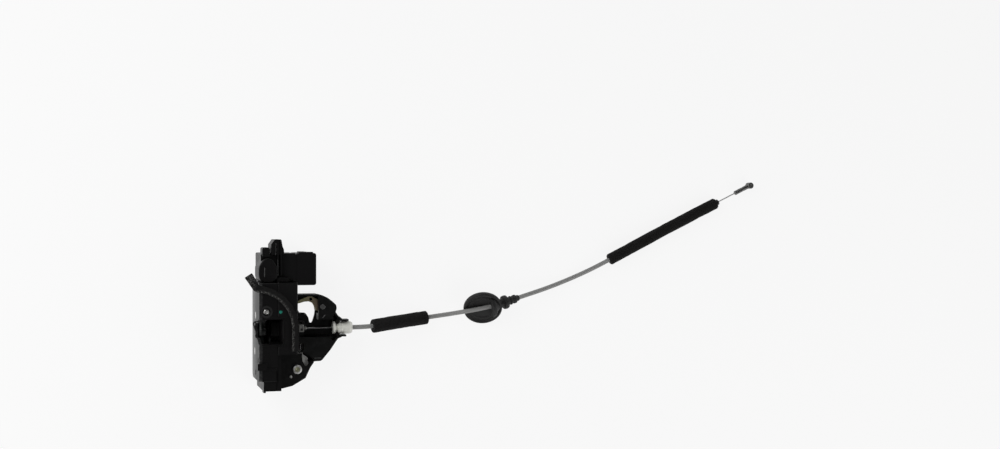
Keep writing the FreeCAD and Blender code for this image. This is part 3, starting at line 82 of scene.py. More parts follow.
Colour = tuple[float, float, float]
Point = tuple[float, float, float]
Input = Union["Term", float, int, Sequence[float]]
Wave = Callable[[np.ndarray, np.ndarray], np.ndarray]
Grid = tuple[np.ndarray, np.ndarray]


class Shade(Enum):
    """How the faces of a piece meet each other."""

    SMOOTH = "smooth"
    FLAT = "flat"


class Along(Enum):
    """Direction of the brushing or drawing lines of a metal."""

    X = (0.06, 1.0, 1.0)
    Y = (1.0, 0.06, 1.0)
    Z = (1.0, 1.0, 0.06)
    NONE = (1.0, 1.0, 1.0)


class Term:
    """An output socket in a material, so that shader maths is written as an expression."""

    def __init__(self, paint: "Paint", socket: bpy.types.NodeSocket) -> None:
        """Wrap a socket.

        Args:
            paint: the material that the socket belongs to.
            socket: the output socket.
        """
        self.paint = paint
        self.socket = socket

    def _maths(self, operation: str, first: Input, second: Input) -> "Term":
        """A Math node on two values.

        Args:
            operation: the Math node's operation.
            first: the first value.
            second: the second value.

        Returns:
            The node's result.
        """
        return self.paint.node("ShaderNodeMath", {"operation": operation}, {0: first, 1: second})

    def __add__(self, other: Input) -> "Term":
        """Sum."""
        return self._maths("ADD", self, other)

    def __radd__(self, other: Input) -> "Term":
        """Sum, reflected."""
        return self._maths("ADD", other, self)

    def __sub__(self, other: Input) -> "Term":
        """Difference."""
        return self._maths("SUBTRACT", self, other)

    def __rsub__(self, other: Input) -> "Term":
        """Difference, reflected."""
        return self._maths("SUBTRACT", other, self)

    def __mul__(self, other: Input) -> "Term":
        """Product."""
        return self._maths("MULTIPLY", self, other)

    def __rmul__(self, other: Input) -> "Term":
        """Product, reflected."""
        return self._maths("MULTIPLY", other, self)

    def __pow__(self, other: Input) -> "Term":
        """Power."""
        return self._maths("POWER", self, other)

    def above(self, low: float, high: float) -> "Term":
        """Share from 0 at the low value to 1 at the high value, with soft ends.

        Args:
            low: the value that gives 0.
            high: the value that gives 1.

        Returns:
            The share.
        """
        settings = {"interpolation_type": "SMOOTHSTEP"}
        inputs = {"Value": self, "From Min": low, "From Max": high}
        return self.paint.node("ShaderNodeMapRange", settings, inputs)


def tint(colour: Colour, factor: float, lift: float = 0.0) -> Colour:
    """A colour times a factor, raised by a little grey."""
    return tuple(c * factor + lift for c in colour)


class Paint:
    """The node tree of one material, or of the sky."""

    def __init__(self, name: str, sky: bool = False) -> None:
        """Start an empty tree.

        Args:
            name: the material's or the world's name.
            sky: whether it is the world's tree.
        """
        self.material = (bpy.data.worlds if sky else bpy.data.materials).new(name)
        self.material.use_nodes = True
        self.tree = self.material.node_tree
        self.tree.nodes.clear()
        self.place = self.node("ShaderNodeTexCoord", {}, {}, "Generated" if sky else "Object")

    def node(self, kind: str, settings: dict, inputs: dict, out: Union[int, str] = 0) -> Term:
        """Make a node: its settings first, then the values or links of its sockets.

        Args:
            kind: the node's type.
            settings: attributes of the node; "stops" gives a ramp's positions and colours.
            inputs: socket name or number to a value or a Term.
            out: the output socket that is wanted.

        Returns:
            The output as a Term.
        """
        made = self.tree.nodes.new(kind)
        for key, value in settings.items():
            if key == "stops":
                ramp = made.color_ramp.elements
                while len(ramp) < len(value):
                    ramp.new(0.5)
                for element, (at, colour) in zip(ramp, value):
                    element.position = at
                    element.color = (*colour, 1.0)
            else:
                setattr(made, key, value)
        for key, value in inputs.items():
            socket = made.inputs[key]
            if isinstance(value, Term):
                self.tree.links.new(value.socket, socket)
            elif isinstance(value, (int, float)):
                socket.default_value = value
            else:
                wide = socket.type == "RGBA" and len(value) == 3
                socket.default_value = (*value, 1.0) if wide else tuple(value)
        return Term(self, made.outputs[out])

    def along(self, axis: str) -> Term:
        """Object coordinate along one axis, in millimetres.

        Args:
            axis: X, Y or Z.

        Returns:
            The coordinate.
        """
        return self.node("ShaderNodeSeparateXYZ", {}, {0: self.place}, axis) * PER_METRE

    def larger(self, first: Input, second: Input) -> Term:
        """The larger of two values.

        Args:
            first: the first value.
            second: the second value.

        Returns:
            The larger one.
        """
        return self.node("ShaderNodeMath", {"operation": "MAXIMUM"}, {0: first, 1: second})

    def stretched(self, scale: Sequence[float]) -> Term:
        """Object coordinates, scaled along each axis.

        Args:
            scale: factor of each axis.

        Returns:
            The scaled coordinates.
        """
        return self.node("ShaderNodeMapping", {}, {"Vector": self.place, "Scale": scale})

    def noise(self, size_mm: float, detail: float = 3.0, rough: float = 0.5,
              place: Union[Term, None] = None) -> Term:
        """Cloud noise whose lumps have a size.

        Args:
            size_mm: the lumps' size in millimetres.
            detail: octaves.
            rough: weight of the finer octaves.
            place: coordinates, or None for the object's own.

        Returns:
            The noise, about 0.5 in the middle.
        """
        inputs = {"Vector": place or self.place, "Scale": PER_METRE / size_mm, "Detail": detail,
                  "Roughness": rough}
        return self.node("ShaderNodeTexNoise", {}, inputs, 0)

    def cells(self, size_mm: float, feature: str = "F1", spread: float = 1.0) -> Term:
        """Distance inside cells of a size.

        Args:
            size_mm: the cells' size in millimetres.
            feature: the Voronoi feature.
            spread: how irregular the cells are.

        Returns:
            The distance.
        """
        inputs = {"Vector": self.place, "Scale": PER_METRE / size_mm, "Randomness": spread}
        return self.node("ShaderNodeTexVoronoi", {"feature": feature}, inputs, "Distance")

    def blend(self, share: Input, first: Input, second: Input) -> Term:
        """Colour between two colours.

        Args:
            share: 0 for the first colour, 1 for the second.
            first: the first colour.
            second: the second colour.

        Returns:
            The colour.
        """
        inputs = {"Factor": share, 6: first, 7: second}
        return self.node("ShaderNodeMix", {"data_type": "RGBA"}, inputs, 2)

    def bump(self, height: Term, depth_mm: float, strength: float = 1.0,
             under: Union[Term, None] = None) -> Term:
        """Normal from a height.

        Args:
            height: the height, 0 to 1.
            depth_mm: depth of a height of 1.
            strength: share of the effect.
            under: a normal that this one lies on.

        Returns:
            The normal.
        """
        inputs = {"Height": height, "Distance": depth_mm * MM, "Strength": strength}
        if under is not None:
            inputs["Normal"] = under
        return self.node("ShaderNodeBump", {}, inputs)

    def edges(self, width_mm: float) -> Term:
        """Share from 0 on open faces to 1 on outer edges, from the faces' pointiness.

        Args:
            width_mm: how soft the edge is; larger is softer.

        Returns:
            The share.
        """
        flat, rise_per_mm = 0.51, 0.03
        point = self.node("ShaderNodeNewGeometry", {}, {}, "Pointiness")
        return point.above(flat, flat + rise_per_mm * width_mm)

    def finish(self, **sockets: Input) -> bpy.types.Material:
        """Close the material with a Principled shader.

        Args:
            sockets: socket names, with _ for a space, and their values.

        Returns:
            The material.
        """
        inputs = {key.replace("_", " "): value for key, value in sockets.items()}
        shader = self.node("ShaderNodeBsdfPrincipled", {}, inputs)
        self.node_out(shader)
        return self.material

    def node_out(self, shader: Term, kind: str = "ShaderNodeOutputMaterial") -> None:
        """Link a shader to the tree's output."""
        end = self.tree.nodes.new(kind)
        self.tree.links.new(shader.socket, end.inputs["Surface"])


@dataclass(frozen=True)
class MouldedPlastic:
    """Glass-filled nylon or a similar moulding: fine spark grain, faint flow marks, paler rubbed edges."""

    name: str
    colour: Colour
    rough: float = 0.42
    grain_mm: float = 0.45
    grain_depth: float = 0.012
    flow: float = 0.25
    rub: float = 0.22
    rub_colour: Colour = (0.020, 0.020, 0.0205)
    dust: float = 0.08
    shine: float = 0.4
    cloud_mm: float = 34.0
    streak_mm: float = 9.0
    speck_mm: float = 0.6
    sink_mm: float = 26.0

    def make(self) -> bpy.types.Material:
        """Build the material.

        Returns:
            The material.
        """
        p = Paint(self.name)
        cloud = p.noise(self.cloud_mm, 2.0)
        streak = p.noise(self.streak_mm, 4.0, 0.6, p.stretched((0.25, 1.0, 1.0)))
        speck = p.noise(self.speck_mm, 2.0)
        dark, light = tint(self.colour, 1.0 - self.flow), tint(self.colour, 1.0 + self.flow)
        base = p.blend(cloud * 0.5 + streak * 0.5, dark, light)
        base = p.blend(speck.above(0.62, 0.74) * self.dust, base, self.rub_colour)
        worn = p.edges(1.6) * p.noise(5.0, 3.0).above(0.38, 0.68)
        base = p.blend(worn * self.rub, base, self.rub_colour)
        rough = self.rough - 0.07 + cloud * 0.08 + speck * 0.06 - worn * 0.08
        grain = p.bump(p.noise(self.grain_mm, 3.0, 0.55), self.grain_depth)
        normal = p.bump(p.noise(self.sink_mm, 1.0), 0.05, 1.0, grain)
        return p.finish(Base_Color=base, Roughness=rough, Normal=normal, IOR=1.5,
                        Specular_IOR_Level=self.shine)


@dataclass(frozen=True)
class PlatedSteel:
    """Zinc-plated steel: pale grey with fine lines, dull patches and bright rubbed edges."""

    name: str
    colour: Colour
    rough: float = 0.34
    along: Along = Along.X
    lines: float = 0.006
    stain: float = 0.25
    stain_colour: Colour = (0.30, 0.29, 0.27)
    patch_mm: float = 6.0
    line_mm: float = 0.5

    def make(self) -> bpy.types.Material:
        """Build the material.

        Returns:
            The material.
        """
        p = Paint(self.name)
        patch = p.noise(self.patch_mm, 4.0, 0.6)
        line = p.noise(self.line_mm, 3.0, 0.6, p.stretched(self.along.value))
        worn = p.edges(1.2)
        base = p.blend(patch.above(0.45, 0.75) * self.stain, self.colour, self.stain_colour)
        base = p.blend(worn * 0.4, base, tuple(min(1.0, c * 1.25) for c in self.colour))
        rough = self.rough - 0.06 + patch * 0.14 + line * 0.06 - worn * 0.08
        normal = p.bump(line, self.lines, 1.0, p.bump(patch, 0.01))
        return p.finish(Base_Color=base, Roughness=rough, Normal=normal, Metallic=1.0)


@dataclass(frozen=True)
class CoatedSteel:
    """Steel under a thin black coat, with the steel showing where edges have rubbed."""

    name: str
    colour: Colour
    rough: float = 0.36
    wear: float = 0.25
    polish: float = 0.0
    polish_z: tuple[float, float] = (-30.0, 14.0)
    steel: Colour = (0.34, 0.33, 0.32)
    patch_mm: float = 12.0
    chip_mm: float = 2.2
    skin_mm: float = 0.9

    def make(self) -> bpy.types.Material:
        """Build the material.

        Returns:
            The material.
        """
        p = Paint(self.name)
        patch = p.noise(self.patch_mm, 3.0)
        worn = p.edges(1.0) * p.noise(self.chip_mm, 4.0, 0.65).above(0.54, 0.62)
        base = p.blend(patch, tint(self.colour, 0.8), tint(self.colour, 1.3))
        base = p.blend(worn * self.wear, base, self.steel)
        low, high = self.polish_z
        smooth = (1.0 - p.along("Z").above(low, high)) * self.polish
        rough = self.rough + patch * 0.1 - worn * 0.06 - smooth
        normal = p.bump(p.noise(self.skin_mm, 2.0), 0.01)
        return p.finish(Base_Color=base, Roughness=rough, Normal=normal, Metallic=worn * self.wear)


@dataclass(frozen=True)
class DippedSteel:
    """Plated steel whose end wears a black plastic sleeve above a line across the piece."""

    name: str
    colour: Colour
    sleeve: Colour
    from_y: float
    rough: float = 0.32

    def make(self) -> bpy.types.Material:
        """Build the material.

        Returns:
            The material.
        """
        p = Paint(self.name)
        line = p.noise(0.5, 3.0, 0.6, p.stretched(Along.Y.value))
        covered = (p.along("Y") + p.noise(1.5, 2.0) * 0.5).above(self.from_y, self.from_y + 0.4)
        base = p.blend(p.noise(5.0, 3.0), tint(self.colour, 0.8), self.colour)
        base = p.blend(covered, base, self.sleeve)
        rough = self.rough + line * 0.08 + covered * 0.12
        return p.finish(Base_Color=base, Roughness=rough, Normal=p.bump(line, 0.005), Metallic=1.0 - covered)


@dataclass(frozen=True)
class RivetHead:
    """Zinc rivet whose dished middle kept its olive chromate."""

    name: str
    rim: Colour
    middle: Colour
    centre: tuple[float, float]
    middle_r: float = 2.5
    soft: float = 0.3

    def make(self) -> bpy.types.Material:
        """Build the material.

        Returns:
            The material.
        """
        p = Paint(self.name)
        x, y = p.along("X") - self.centre[0], p.along("Y") - self.centre[1]
        outer = ((x * x + y * y) ** 0.5).above(self.middle_r - self.soft, self.middle_r + self.soft)
        mottle = p.noise(1.6, 4.0, 0.6)
        base = p.blend(mottle, tint(self.middle, 0.7), self.middle)
        base = p.blend(outer, base, self.rim)
        rough = 0.46 - outer * 0.16 + mottle * 0.08
        return p.finish(Base_Color=base, Roughness=rough, Normal=p.bump(mottle, 0.02),
                        Metallic=0.75 + outer * 0.25)


@dataclass(frozen=True)
class CastNipple:
    """Dull zinc casting with a dark square on its face: painted shade of a socket that is not cut."""

    name: str
    colour: Colour
    centre: tuple[float, float]
    half: float = 1.15
    soft: float = 0.1
    # colour of the painted shade in the socket square
    dark: Colour = (0.02, 0.02, 0.019)

    def make(self) -> bpy.types.Material:
        """Build the material.

        Returns:
            The material.
        """
        p = Paint(self.name)
        x, y = p.along("X") - self.centre[0], p.along("Y") - self.centre[1]
        far = p.larger((x * x) ** 0.5, (y * y) ** 0.5)
        # the square where the socket would be is painted dark and non-metallic: painted shade of the recess
        socket = 1.0 - far.above(self.half - self.soft, self.half + self.soft)
        patch = p.noise(1.5, 4.0, 0.6)
        base = p.blend(patch, tint(self.colour, 0.7), self.colour)
        base = p.blend(socket, base, self.dark)
        return p.finish(Base_Color=base, Roughness=0.5 + patch * 0.15, Normal=p.bump(patch, 0.015),
                        Metallic=0.9 - socket * 0.9)


@dataclass(frozen=True)
class YellowChromate:
    """Yellow-passivated zinc: an olive gold that drifts towards green and rose."""

    name: str
    colour: Colour
    rough: float = 0.32

    def make(self) -> bpy.types.Material:
        """Build the material.

        Returns:
            The material.
        """
        p = Paint(self.name)
        drift = p.noise(7.0, 3.0, 0.55)
        r, g, b = self.colour
        green, rose = (r * 0.86, g * 1.02, b * 0.8), (r * 1.15, g * 0.93, b * 1.15)
        stops = [(0.25, green), (0.5, self.colour), (0.75, rose)]
        base = p.node("ShaderNodeValToRGB", {"stops": stops}, {"Fac": drift}, "Color")
        line = p.noise(0.4, 3.0, 0.6, p.stretched(Along.X.value))
        rough = self.rough + drift * 0.12 + line * 0.05
        return p.finish(Base_Color=base, Roughness=rough, Normal=p.bump(line, 0.006), Metallic=0.85)


@dataclass(frozen=True)
class CellFoam:
    """Open-cell foam: pits painted darker than the paler cell walls as painted shade, with a little lint.

    A foam with a ring, given as a centre's X and Y and an inner radius, has pale flecks along that inner
    side and on the part left of the centre, partly lint and partly painted highlights.
    """

    name: str
    colour: Colour
    wall: Colour
    cell_mm: float = 0.8
    depth: float = 0.22
    ring: Union[tuple[float, float, float], None] = None
    lint_and_highlight_colour: Colour = (0.20, 0.198, 0.19)

    def make(self) -> bpy.types.Material:
        """Build the material.

        Returns:
            The material.
        """
        p = Paint(self.name)
        coarse = p.cells(self.cell_mm)
        fine = p.cells(self.cell_mm * 0.45)
        body = p.noise(5.0, 3.0)
        pit_shade_and_height = coarse.above(0.15, 0.75) * 0.6 + fine.above(0.1, 0.8) * 0.4
        # pits darker than the walls: painted shade, from the same mask that gives the bump's height
        base = p.blend(pit_shade_and_height, self.colour, self.wall)
        lint = p.noise(1.1, 4.0, 0.7).above(0.63, 0.72)
        base = p.blend(lint * 0.3, base, tint(self.wall, 2.2))
        base = p.blend(body.above(0.35, 0.7) * 0.3, base, tint(self.colour, 0.6))
        if self.ring is not None:
            cx, cy, inner = self.ring
            x, y = p.along("X") - cx, p.larger(p.along("Y") - cy, 0.0)
            near = 1.0 - ((x * x + y * y) ** 0.5).above(inner + 0.8, inner + 3.0)
            tail = 1.0 - x.above(-6.0, 3.0)
            # pale flecks on the inner side and the left part: partly lint, partly painted highlights where
            # light catches the foam's edge
            lint_and_highlight_fleck = p.noise(1.1, 3.0, 0.65).above(0.48, 0.58)
            base = p.blend(p.larger(near, tail) * lint_and_highlight_fleck * 0.5, base, self.lint_and_highlight_colour)
        normal = p.bump(pit_shade_and_height, self.depth, 0.9, p.bump(body, 0.3, 0.6))
        return p.finish(Base_Color=base, Roughness=0.94, Normal=normal, Specular_IOR_Level=0.25)


@dataclass(frozen=True)
class SoftRubber:
    """Moulded black rubber with a soft sheen, a fine skin and a pale bloom."""

    name: str
    colour: Colour
    rough: float = 0.5
    bloom: float = 0.3
    cloud_mm: float = 11.0
    skin_mm: float = 0.35

    def make(self) -> bpy.types.Material:
        """Build the material.

        Returns:
            The material.
        """
        p = Paint(self.name)
        cloud = p.noise(self.cloud_mm, 4.0, 0.6)
        skin = p.noise(self.skin_mm, 2.0)
        base = p.blend(cloud.above(0.4, 0.75) * self.bloom, self.colour, tint(self.colour, 2.0, 0.004))
        rough = self.rough + cloud * 0.16 + skin * 0.05
        normal = p.bump(skin, 0.02, 1.0, p.bump(cloud, 0.06))
        return p.finish(Base_Color=base, Roughness=rough, Normal=normal, Sheen_Weight=0.04,
                        Sheen_Roughness=0.4)


@dataclass(frozen=True)
class DrawnVinyl:
    """Extruded sheath: smooth grey vinyl with faint lengthwise marks and a few scuffs."""

    name: str
    colour: Colour
    rough: float = 0.38
    tone_mm: float = 40.0
    mark_mm: float = 1.6
    scuff_mm: float = 3.2

    def make(self) -> bpy.types.Material:
        """Build the material.

        Returns:
            The material.
        """
        p = Paint(self.name)
        tone = p.noise(self.tone_mm, 2.0)
        mark = p.noise(self.mark_mm, 3.0, 0.6, p.stretched((0.12, 0.4, 1.0)))
        scuff = p.noise(self.scuff_mm, 5.0, 0.7).above(0.62, 0.7)
        base = p.blend(tone, tint(self.colour, 0.9), tint(self.colour, 1.1))
        base = p.blend(scuff * 0.35, base, tint(self.colour, 0.55))
        rough = self.rough + mark * 0.08 + scuff * 0.2
        return p.finish(Base_Color=base, Roughness=rough, Normal=p.bump(mark, 0.02), IOR=1.46)


@dataclass(frozen=True)
class PaintMark:
    """A dab of marking paint."""

    name: str
    colour: Colour

    def make(self) -> bpy.types.Material:
        """Build the material.

        Returns:
            The material.
        """
        p = Paint(self.name)
        thick = p.noise(0.9, 3.0)
        base = p.blend(thick, tint(self.colour, 0.75), tint(self.colour, 1.15))
        return p.finish(Base_Color=base, Roughness=0.3 + thick * 0.15, Normal=p.bump(thick, 0.05))


FINISHES = {
    "black_steel": CoatedSteel("black coated steel", (0.0045, 0.0045, 0.005), 0.50, 0.12, 0.20),
    "dark_works": CoatedSteel("blackened steel", (0.003, 0.0045, 0.004), 0.4),
    "bare_steel": PlatedSteel("zinc plated steel", (0.62, 0.62, 0.60)),
    "wire": PlatedSteel("drawn wire", (0.52, 0.52, 0.52), 0.28),
    "crimp": PlatedSteel("dull crimp", (0.15, 0.15, 0.148), 0.42, Along.NONE, 0.01, 0.4,
                         (0.08, 0.078, 0.072)),
    "contact": PlatedSteel("tinned brass", (0.70, 0.64, 0.48), 0.26, Along.Z),
    "chromate": YellowChromate("yellow chromate", (0.34, 0.31, 0.19)),
    "lever_steel": DippedSteel("sleeved lever steel", (0.60, 0.60, 0.58), (0.003, 0.003, 0.003), -11.0),
    "nipple_cast": CastNipple("nipple casting", (0.42, 0.42, 0.40), (44.3, -0.2)),
    "rivet_head": RivetHead("rivet head", (0.62, 0.62, 0.60), (0.33, 0.33, 0.22), (39.0, -38.3)),
    "case_plastic": MouldedPlastic("latch case nylon", (0.0026, 0.0024, 0.0026), 0.42, dust=0.04,
                                   rub=0.0, shine=0.2),
    "housing_plastic": MouldedPlastic("actuator housing nylon", (0.0032, 0.0029, 0.0031), 0.44, 0.6,
                                      0.016, rub=0.1, shine=0.2),
    "bracket_plastic": MouldedPlastic("bracket nylon", (0.0024, 0.0024, 0.0022), 0.46, shine=0.2),
    "fork_plastic": MouldedPlastic("fork jacket", (0.003, 0.006, 0.005), 0.34, 0.5, 0.006),
    # pale bead colour, far lighter than the case nylon: painted highlights, glints on the mouldings
    "bead_plastic": MouldedPlastic("moulded bead", (0.045, 0.045, 0.045), 0.24, 0.6, 0.003, shine=1.0),
    "circuit": MouldedPlastic("switch and carrier", (0.020, 0.020, 0.021), 0.5),
    "ivory": MouldedPlastic("ivory acetal", (0.86, 0.86, 0.80), 0.33, 0.8, 0.004, 0.06, 0.25,
                            (0.42, 0.41, 0.37), 0.04, 0.5),
    "wheel_plastic": MouldedPlastic("natural acetal", (0.56, 0.56, 0.51), 0.36, 0.8, 0.004, 0.06, 0.2,
                                    (0.4, 0.39, 0.35), 0.03),
    "rubber": SoftRubber("black rubber", (0.003, 0.003, 0.003), 0.56, 0.2),
    "well_shade": SoftRubber("well shadow plastic", (0.0012, 0.0012, 0.0012), 0.7, 0.0),
    "foam": CellFoam("cell foam", (0.003, 0.0027, 0.0027), (0.011, 0.0103, 0.010)),
    # seal foam: its pale flecks on the inner side and left part are partly lint, partly painted highlights
    "seal_foam": CellFoam("seal foam", (0.0028, 0.0026, 0.0026), (0.008, 0.0077, 0.0075),
                          ring=(-4.0, 3.0, 35.2)),
    "sheath_grey": DrawnVinyl("grey sheath", (0.29, 0.29, 0.285)),
    "marking_paint": PaintMark("marking paint", (0.012, 0.22, 0.16)),
}


def lattice(rows: int, cols: int, close_rows: bool = False, close_cols: bool = False) -> np.ndarray:
    """Four-cornered faces of a grid of points, which may close on itself either way.

    Args:
        rows: points along the first direction.
        cols: points along the second direction.
        close_rows: whether the last row joins the first.
        close_cols: whether the last column joins the first.

    Returns:
        The faces, one row of four point numbers each.
    """
    i = np.arange(rows if close_rows else rows - 1)[:, None]
    j = np.arange(cols if close_cols else cols - 1)[None, :]
    below, beside = (i + 1) % rows, (j + 1) % cols
    corners = [i * cols + j, i * cols + beside, below * cols + beside, below * cols + j]
    return np.stack([np.broadcast_to(c, (i.size, j.size)).ravel() for c in corners], axis=1)


def solid_from(name: str, parts: Sequence[Grid], shade: Shade = Shade.SMOOTH,
               crease_deg: float = 38.0) -> bpy.types.Object:
    """One closed mesh from point grids, with poles merged and faces turned outwards.

    Args:
        name: the piece's name.
        parts: point arrays of three columns in millimetres, each with its faces.
        shade: smooth or flat faces.
        crease_deg: edges sharper than this stay sharp on a smooth piece.

    Returns:
        The object, which sits at the origin.
    """
    start, points, faces = 0, [], []
    for grid, quads in parts:
        flat = grid.reshape(-1, 3)
        points.append(flat * MM)
        faces.append(quads + start)
        start += len(flat)
    mesh = bpy.data.meshes.new(name)
    mesh.from_pydata(np.concatenate(points).tolist(), [], np.concatenate(faces).tolist())
    shell = bmesh.new()
    shell.from_mesh(mesh)
    bmesh.ops.remove_doubles(shell, verts=shell.verts, dist=WELD_M)
    bmesh.ops.recalc_face_normals(shell, faces=shell.faces)
    shell.to_mesh(mesh)
    shell.free()
    smooth = shade is Shade.SMOOTH
    mesh.polygons.foreach_set("use_smooth", np.full(len(mesh.polygons), smooth))
    if smooth:
        mesh.set_sharp_from_angle(angle=math.radians(crease_deg))
    made = bpy.data.objects.new(name, mesh)
    bpy.context.scene.collection.objects.link(made)
    return made


def across(normal: Sequence[float]) -> tuple[np.ndarray, np.ndarray, np.ndarray]:
    """Three unit vectors: two across a direction, and the direction itself."""
    n = np.asarray(normal, float) / np.linalg.norm(normal)
    aside = np.cross((0.0, 0.0, 1.0) if abs(n[2]) < 0.9 else (1.0, 0.0, 0.0), n)
    aside /= np.linalg.norm(aside)
    return aside, np.cross(n, aside), n


def revolved(profile: np.ndarray, origin: Sequence[float], axis: Sequence[float], steps: int = 64,
             wave: Union[Wave, None] = None, closed: bool = False) -> Grid:
    """Surface of a profile turned about an axis.

    A point is origin + distance * axis + radius * (cos(turn), sin(turn)), and wave(turn, distance) scales
    the radius.

    Args:
        profile: rows of distance along the axis and radius.
        origin: where the axis starts.
        axis: its direction.
        steps: faces round the axis.
        wave: factor of the radius for arrays of turn and distance.
        closed: whether the profile's end joins its start, as in a ring.

    Returns:
        The grid of points and its faces.
    """
    aside, up, along = across(axis)
    turn = np.linspace(0.0, 2 * math.pi, steps, endpoint=False)[None, :, None]
    distance, radius = profile[:, 0][:, None, None], profile[:, 1][:, None, None]
    if wave is not None:
        radius = radius * wave(turn, distance)
    points = np.asarray(origin) + distance * along + radius * (np.cos(turn) * aside + np.sin(turn) * up)
    return points, lattice(len(profile), steps, closed, True)


def rounded(profile: Sequence[tuple[float, float]], radius: float, steps: int = 4) -> np.ndarray:
    """A profile whose inner corners are replaced by arcs.

    Each corner becomes a quadratic curve between two points at the radius' distance from it:
    (1-t)^2 a + 2t(1-t) corner + t^2 b.

    Args:
        profile: corner points.
        radius: how far from the corner its curve starts, at most 0.45 of a side.
        steps: parts of each curve.

    Returns:
        The denser profile.
    """
    points = np.asarray(profile, float)
    middle, back, ahead = points[1:-1], points[:-2], points[2:]
    to_back, to_ahead = back - middle, ahead - middle
    length_back = np.linalg.norm(to_back, axis=1, keepdims=True)
    length_ahead = np.linalg.norm(to_ahead, axis=1, keepdims=True)
    reach = np.minimum(radius, 0.45 * np.minimum(length_back, length_ahead))
    a, b = middle + to_back / length_back * reach, middle + to_ahead / length_ahead * reach
    t = np.linspace(0.0, 1.0, steps + 1)[None, :, None]
    curves = (1 - t) ** 2 * a[:, None] + 2 * t * (1 - t) * middle[:, None] + t ** 2 * b[:, None]
    return np.concatenate([points[:1], curves.reshape(-1, points.shape[1]), points[-1:]])


@dataclass
class Line:
    """A smooth line through space with distances, read from a curve, in millimetres."""

    points: np.ndarray
    reach: float = 0.8
    distance: np.ndarray = field(init=False)

    def __post_init__(self) -> None:
        """Work out the distance of each point along the line."""
        steps = np.linalg.norm(np.diff(self.points, axis=0), axis=1)
        self.distance = np.concatenate([[0.0], np.cumsum(steps)])

    @property
    def length(self) -> float:
        """The whole length."""
        return float(self.distance[-1])

    def at(self, where: np.ndarray) -> np.ndarray:
        """Points at distances along the line."""
        return np.stack([np.interp(where, self.distance, self.points[:, k]) for k in range(3)], axis=-1)

    def where_x(self, x: float) -> float:
        """Distance at which the line reaches an X."""
        return float(np.interp(x, self.points[:, 0], self.distance))

    def frame(self, where: np.ndarray) -> tuple[np.ndarray, np.ndarray, np.ndarray]:
        """Side, up and forward directions at distances, with the side kept level."""
        ahead = self.at(where + self.reach) - self.at(where - self.reach)
        ahead /= np.linalg.norm(ahead, axis=1, keepdims=True)
        side = np.cross((0.0, 0.0, 1.0), ahead)
        side /= np.linalg.norm(side, axis=1, keepdims=True)
        return side, np.cross(ahead, side), ahead

    def tube(self, where: np.ndarray, radius: np.ndarray, steps: int = 48,
             lump: Union[Wave, None] = None, closed: bool = False) -> Grid:
        """Surface round the line: centre(s) + r(s) (cos(turn) side + sin(turn) up).

        Args:
            where: distance of each ring.
            radius: radius of each ring.
            steps: points round a ring.
            lump: millimetres added to the radius for arrays of turn and distance.
            closed: whether the last ring joins the first.

        Returns:
            The grid of points and its faces.
        """
        side, up, _ = self.frame(where)
        turn = np.linspace(0.0, 2 * math.pi, steps, endpoint=False)[None, :, None]
        r = radius[:, None, None] * np.ones_like(turn)
        if lump is not None:
            r = r + lump(turn, where[:, None, None])
        rings = self.at(where)[:, None] + r * (np.cos(turn) * side[:, None] + np.sin(turn) * up[:, None])
        return rings, lattice(len(where), steps, closed, True)


def capped(rings: np.ndarray) -> Grid:
    """Close a tube of rings with flat ends, each drawn in to its ring's middle.

    Args:
        rings: grid of points, one row for each ring.

    Returns:
        The closed grid of points and its faces.
    """
    ends = [np.broadcast_to(rings[k].mean(axis=0), rings[:1].shape) for k in (0, -1)]
    grid = np.concatenate([ends[0], rings, ends[1]])
    return grid, lattice(len(grid), rings.shape[1], False, True)


def squared(turn: np.ndarray, power: float) -> tuple[np.ndarray, np.ndarray]:
    """Rounded square section: sgn(cos) |cos|^power across and sgn(sin) |sin|^power up."""
    wide, tall = np.cos(turn), np.sin(turn)
    return np.sign(wide) * np.abs(wide) ** power, np.sign(tall) * np.abs(tall) ** power


def waves(seed: int, count: int, longest: float, shortest: float) -> Wave:
    """A seeded sum of sines of turn and distance: sum of cos(n turn + k distance + phase) / count.

    Args:
        seed: seed of the random numbers.
        count: number of sines.
        longest: longest wave along the distance in millimetres.
        shortest: shortest wave.

    Returns:
        A function of turn and distance with values about -1 to 1.
    """
    dice = np.random.default_rng(seed)
    n = dice.integers(1, 7, count)
    k = 2 * math.pi / dice.uniform(shortest, longest, count)
    phase = dice.uniform(0, 2 * math.pi, count)

    def value(turn: np.ndarray, distance: np.ndarray) -> np.ndarray:
        """The sum at arrays of turn and distance."""
        angle = turn[..., None] * n + distance[..., None] * k + phase
        return np.cos(angle).sum(axis=-1) / math.sqrt(count)

    return value


